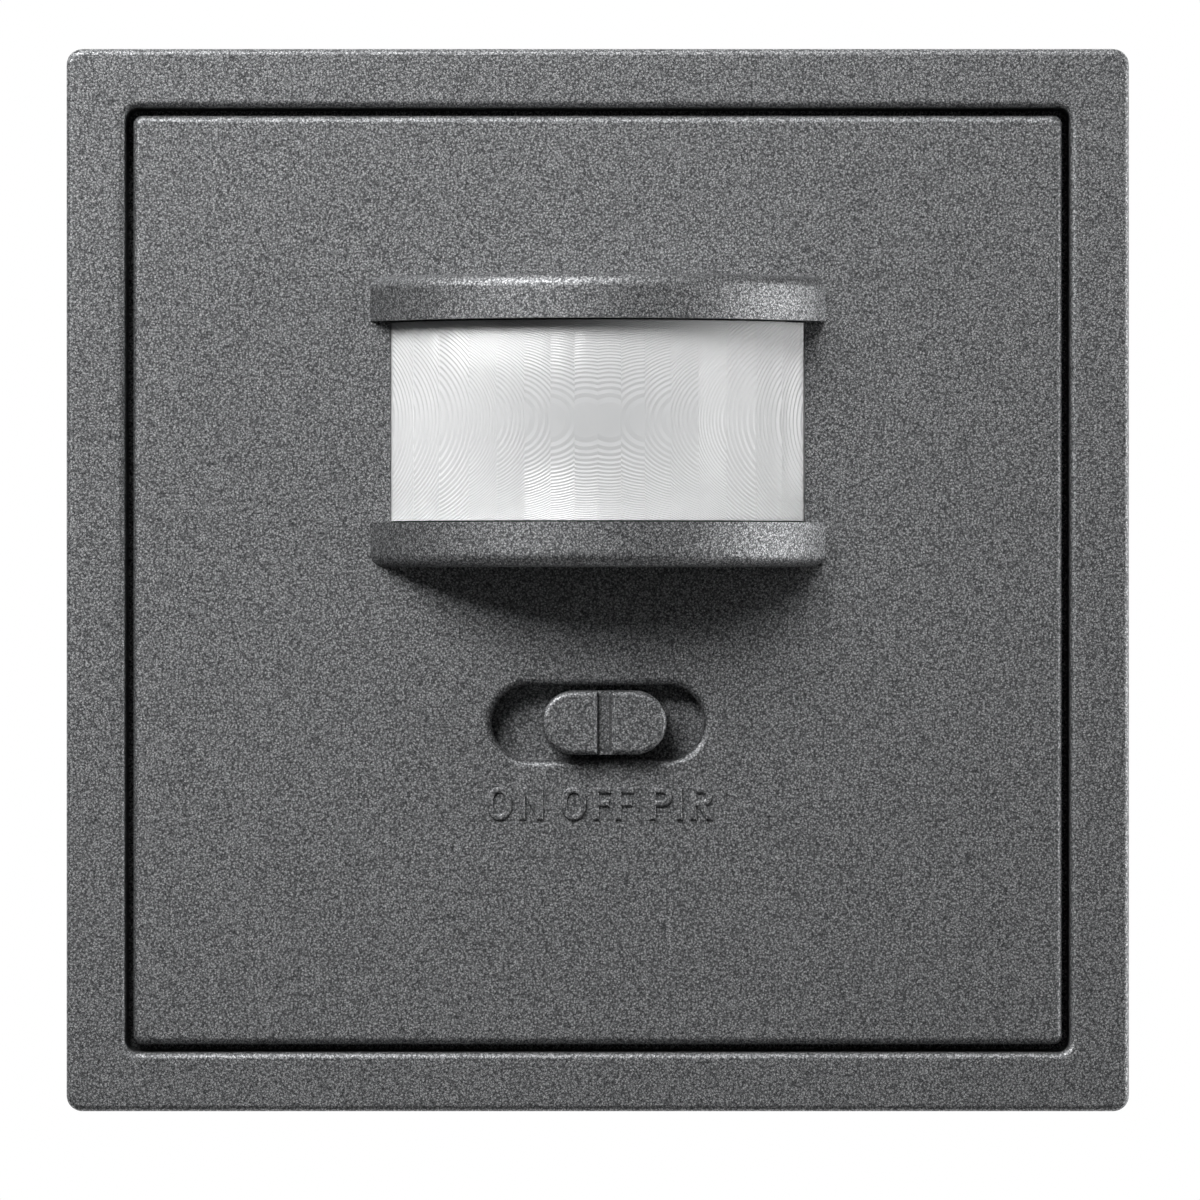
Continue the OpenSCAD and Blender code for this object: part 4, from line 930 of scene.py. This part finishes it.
def soft_lamp(name, azimuth, elevation, far, size, power):
    """Area lamp at an azimuth (0 is the camera's side, 90 the right) and elevation from the object."""
    cos_a, sin_a = cos_sin(azimuth)
    cos_e, sin_e = cos_sin(elevation)
    way = Vector((sin_a * cos_e, -cos_a * cos_e, sin_e))
    data = bpy.data.lights.new(name, "AREA")
    data.shape = "RECTANGLE"
    data.size, data.size_y = size
    data.energy = power
    lamp = add_object(name, data)
    lamp.location = way * far
    lamp.rotation_euler = (-way).to_track_quat("-Z", "Y").to_euler()
    lamp.visible_camera = False


soft_lamp("key", azimuth=-32, elevation=39, far=0.52, size=(0.35, 0.26), power=3.75)
soft_lamp("side", azimuth=82, elevation=1, far=0.5, size=(0.24, 0.4), power=1.8)
soft_lamp("top", azimuth=-15, elevation=70, far=0.5, size=(0.3, 0.2), power=0.45)
soft_lamp("back_left", azimuth=-150, elevation=35, far=0.8, size=(0.6, 0.5), power=2.4)
soft_lamp("back_right", azimuth=150, elevation=30, far=0.8, size=(0.6, 0.5), power=2.4)


# Floor and world: pale to the camera, and dim where they would light the object's front

FLOOR_HALF = 4.0         # half the floor's width
FLOOR_Z = -0.6
FLOOR_DIM = (0.06, 0.06, 0.06)
FLOOR_PALE = (0.78, 0.78, 0.78), (0.82, 0.82, 0.82)
FLOOR_GLOW = 0.7
SKY_FRONT, SKY_BACK = 0.055, 0.5     # light from the room in front of the object, and from behind it
SKY_FULL = 0.5           # Y of the directions from which the light behind is full
SKY_MIRROR = 0.2         # Y of the directions from which mirrors show the pale world


def shows_pale(t, depth, limit):
    """1 for the camera, for glass, and for mirrors where the depth is past a limit, else 0."""
    ray = t.add("LightPath").outputs
    mirrored = t.maths("MULTIPLY", ray["Is Glossy Ray"], t.maths("GREATER_THAN", depth, limit))
    return t.highest([ray["Is Camera Ray"], mirrored, ray["Is Transmission Ray"]])


def floor_pale(slot):
    """Pale to the camera and to mirrors behind the wall plane, but throws little light up."""
    t = tree_of(slot)
    depth = t.axes(t.add("NewGeometry").outputs["Position"])["Y"]
    seen = shows_pale(t, depth, 0.0)
    pale = t.shades(t.noise(60.0, detail=3.0), *FLOOR_PALE)
    t.finish(Base_Color=t.mix(seen, FLOOR_DIM, pale), Roughness=0.8,
             Emission_Color=(1, 1, 1), Emission_Strength=t.maths("MULTIPLY", seen, FLOOR_GLOW))


def add_floor():
    """A wide square under the object, staged."""
    corners = [(x * FLOOR_HALF, y * FLOOR_HALF, 0) for x, y in ((-1, -1), (1, -1), (1, 1), (-1, 1))]
    mesh = bpy.data.meshes.new("floor")
    mesh.from_pydata(corners, [], [(0, 1, 2, 3)])
    floor_pale("floor")
    mesh.materials.append(finishes["floor"])
    floor = add_object("floor", mesh)
    floor.location = (0, 0, FLOOR_Z)


def add_world():
    """White to the camera; to the object a dim room in front and a brighter one behind."""
    world = bpy.data.worlds.new("studio")
    world.use_nodes = True
    t = Tree(world.node_tree)
    depth = t.axes(t.add("TexCoord").outputs["Generated"])["Y"]
    room = t.spread(depth, 0.0, SKY_FULL, SKY_FRONT, SKY_BACK)
    seen = shows_pale(t, depth, SKY_MIRROR)
    level = t.add("Mix", {0: seen, 2: room, 3: 1.0}, data_type="FLOAT").outputs[0]
    back = t.add("Background", {"Color": (1, 1, 1, 1), "Strength": level})
    t.add("OutputWorld", {"Surface": back.outputs[0]})
    scene.world = world


add_floor()
add_world()
scene.view_settings.view_transform = "Standard"
